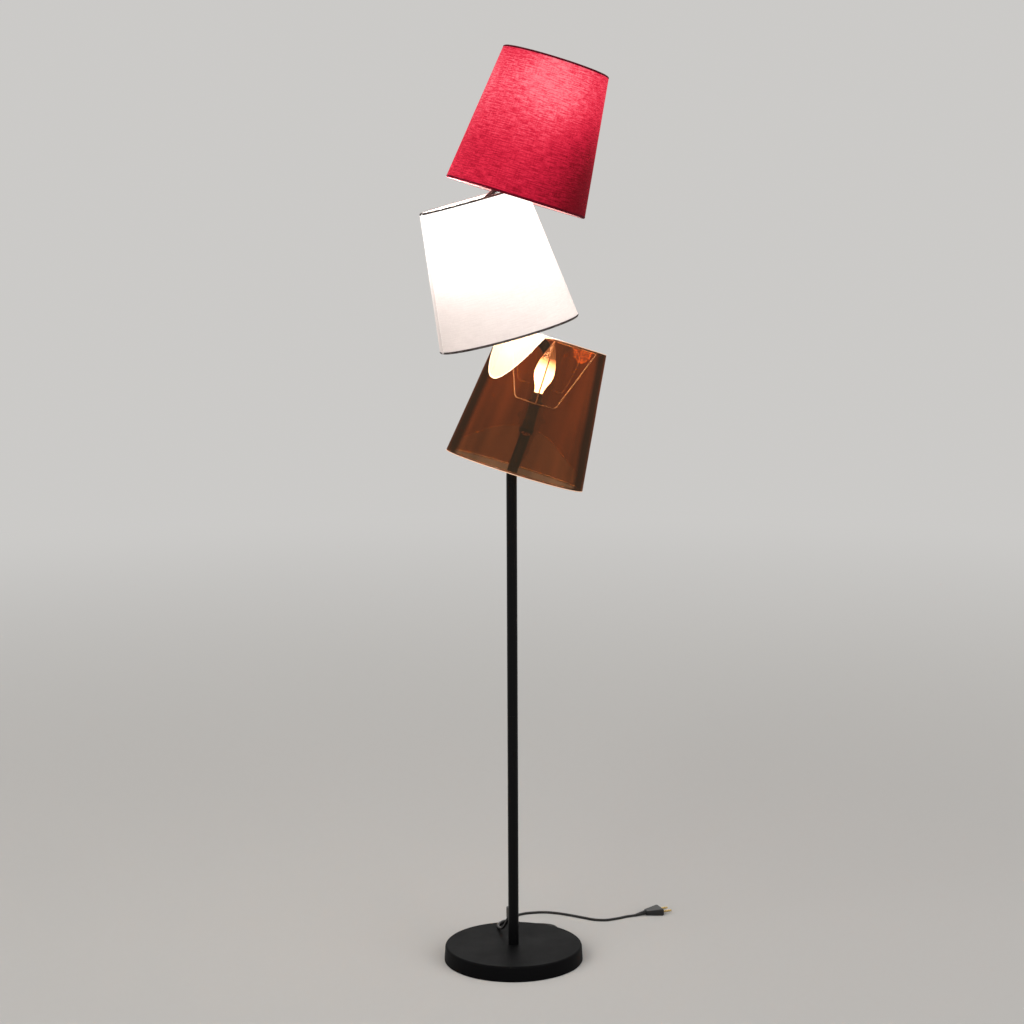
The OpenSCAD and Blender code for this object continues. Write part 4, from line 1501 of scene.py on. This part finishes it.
@dataclass(frozen=True)
class Studio:
    """The plain pale floor, the soft lights, the bulbs' light and the camera."""

    lens: float = 74.14
    sensor: float = 36.0
    camera_place: Point = (0.0005, -3.7205, 1.3280)
    pitch_down: float = 7.696
    roll: float = -0.245
    backdrop: Colour = (0.60, 0.59, 0.575)
    floor_colour: Colour = (0.62, 0.61, 0.595)
    floor_radius: float = 14.0
    floor_corners: int = 96
    fade_from: float = 1.2
    fade_to: float = 6.0
    ambient: float = 0.42
    ambient_colour: Colour = (1.0, 0.985, 0.96)
    bulb_watts: float = 0.3
    bulb_colour: Colour = (1.0, 0.88, 0.74)
    bulb_size: float = 9 * MM
    lights: tuple[SoftLight, ...] = (
        SoftLight("key_light", (-3.0, -3.6, 3.8), 4.4, 110.0, (1.0, 0.98, 0.95)),
        SoftLight("fill_light", (3.6, -2.8, 2.6), 4.4, 55.0, (0.97, 0.98, 1.0)),
        SoftLight("back_light", (0.8, 3.6, 3.6), 3.6, 45.0, (1.0, 0.99, 0.97), shows_in_gloss=True),
    )

    def camera(self) -> None:
        """Sets the camera at the photograph's viewing angle."""
        data = bpy.data.cameras.new("photo_view")
        data.lens = self.lens
        data.sensor_width = self.sensor
        data.clip_end = 60.0
        camera = set_down("photo_view", data)
        look = Matrix.Rotation(math.radians(90 - self.pitch_down), 4, "X")
        roll = Matrix.Rotation(math.radians(self.roll), 4, "Z")
        camera.matrix_world = Matrix.Translation(self.camera_place) @ look @ roll
        bpy.context.scene.camera = camera

    def world(self) -> None:
        """Makes the world: an even light, and the pale backdrop where it is seen."""
        world = bpy.data.worlds.new("studio")
        bpy.context.scene.world = world
        world.use_nodes = True
        sketch = NodeSketch(world.node_tree)
        even = sketch.out("Background", {0: self.ambient_colour, 1: self.ambient})
        pale = sketch.out("Background", {0: self.backdrop})
        both = sketch.out("MixShader", {0: sketch.looks_around(), 1: even, 2: pale})
        sketch.add("OutputWorld", {0: both})

    def floor(self) -> None:
        """Lays the floor, which fades into the backdrop far from the lamp."""
        sketch = ShaderSketch("studio_floor")
        flat = sketch.out("VectorMath", {0: sketch.place(), 1: (1.0, 1.0, 0.0)}, operation="MULTIPLY")
        away = sketch.add("VectorMath", {0: flat}, operation="LENGTH").outputs["Value"]
        span = {"Value": away, "From Min": self.fade_from, "From Max": self.fade_to}
        far = sketch.out("MapRange", span, interpolation_type="SMOOTHSTEP")
        matte = sketch.out("BsdfDiffuse", {"Color": self.floor_colour, "Roughness": 1.0})
        plain = sketch.out("Emission", {"Color": self.backdrop})
        share = sketch.math("MULTIPLY", far, sketch.looks_around())
        material = sketch.finish(sketch.mixed(share, matte, plain))
        turns = [2 * math.pi * k / self.floor_corners for k in range(self.floor_corners)]
        rim = [(self.floor_radius * math.cos(turn), self.floor_radius * math.sin(turn), 0.0)
               for turn in turns]
        mesh = bpy.data.meshes.new("studio_floor")
        mesh.from_pydata(rim, [], [tuple(range(self.floor_corners))])
        mesh.materials.append(material)
        set_down("studio_floor", mesh)

    def bulb_light(self, place: LampPlace) -> None:
        """Lights one bulb, so that its shade is lit from inside."""
        data = bpy.data.lights.new(place.node("bulb_light"), "POINT")
        data.energy = self.bulb_watts
        data.color = self.bulb_colour
        data.shadow_soft_size = self.bulb_size
        light = set_down(data.name, data)
        light.location = place.matrix() @ Vector((0, 0, BULB.at(BULB.belly)))
        light.visible_camera = False

    def build(self) -> None:
        """Makes all of the studio except the camera."""
        self.world()
        self.floor()
        for light in self.lights:
            light.hang()
        for place in LAMPS:
            self.bulb_light(place)


# ---------------------------------------------------------------- the lamp
def dress_frame(dressed: Dressing) -> None:
    """Gives every CAD node the finish of its slot, and the pole and the bulbs their own.

    Args:
        dressed: the material of each finish.
    """
    nodes = FRAME["nodes"]
    for part in FRAME["record"]["subparts"]:
        materials = nodes[part["node"]].data.materials
        materials.clear()
        materials.append(dressed[Finish(part["material_slot"])])
    smooth = POLE_PAINT.material()
    for name in ("pole_lower", "pole_upper", "stem"):
        nodes[name].data.materials[0] = smooth
    for place in LAMPS:
        nodes[place.node("bulb_glass")].data.materials[0] = LitGlass(place).material()


def main() -> None:
    """Builds the lamp's looks round the frame."""
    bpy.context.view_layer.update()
    bpy.context.scene.view_settings.view_transform = "Standard"
    studio = Studio()
    studio.camera()
    dressed = {slot: finish.material() for slot, finish in FINISHES.items()}
    dress_frame(dressed)
    MainsCord().build(dressed[Finish.CORD_PVC])
    studio.build()
    shades = (
        FilmShade(LOWER, Finish.COPPER_FILM, ShadeGlow(), FILM_INSIDE),
        ClothShade(MIDDLE, Finish.WHITE_FABRIC, ShadeGlow(0.2, -0.25), WHITE_LINER, WHITE_HEM),
        ClothShade(UPPER, Finish.RED_FABRIC, ShadeGlow(0.32, 0.52, 0.28), RED_LINER, RED_HEM),
    )
    for shade in shades:
        shade.build(dressed)
    for place in LAMPS:
        ScrewThreads(place).build(dressed)


if __name__ == "__main__":
    logging.basicConfig(level=logging.INFO, format="%(name)s: %(message)s")
    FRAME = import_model()
    main()
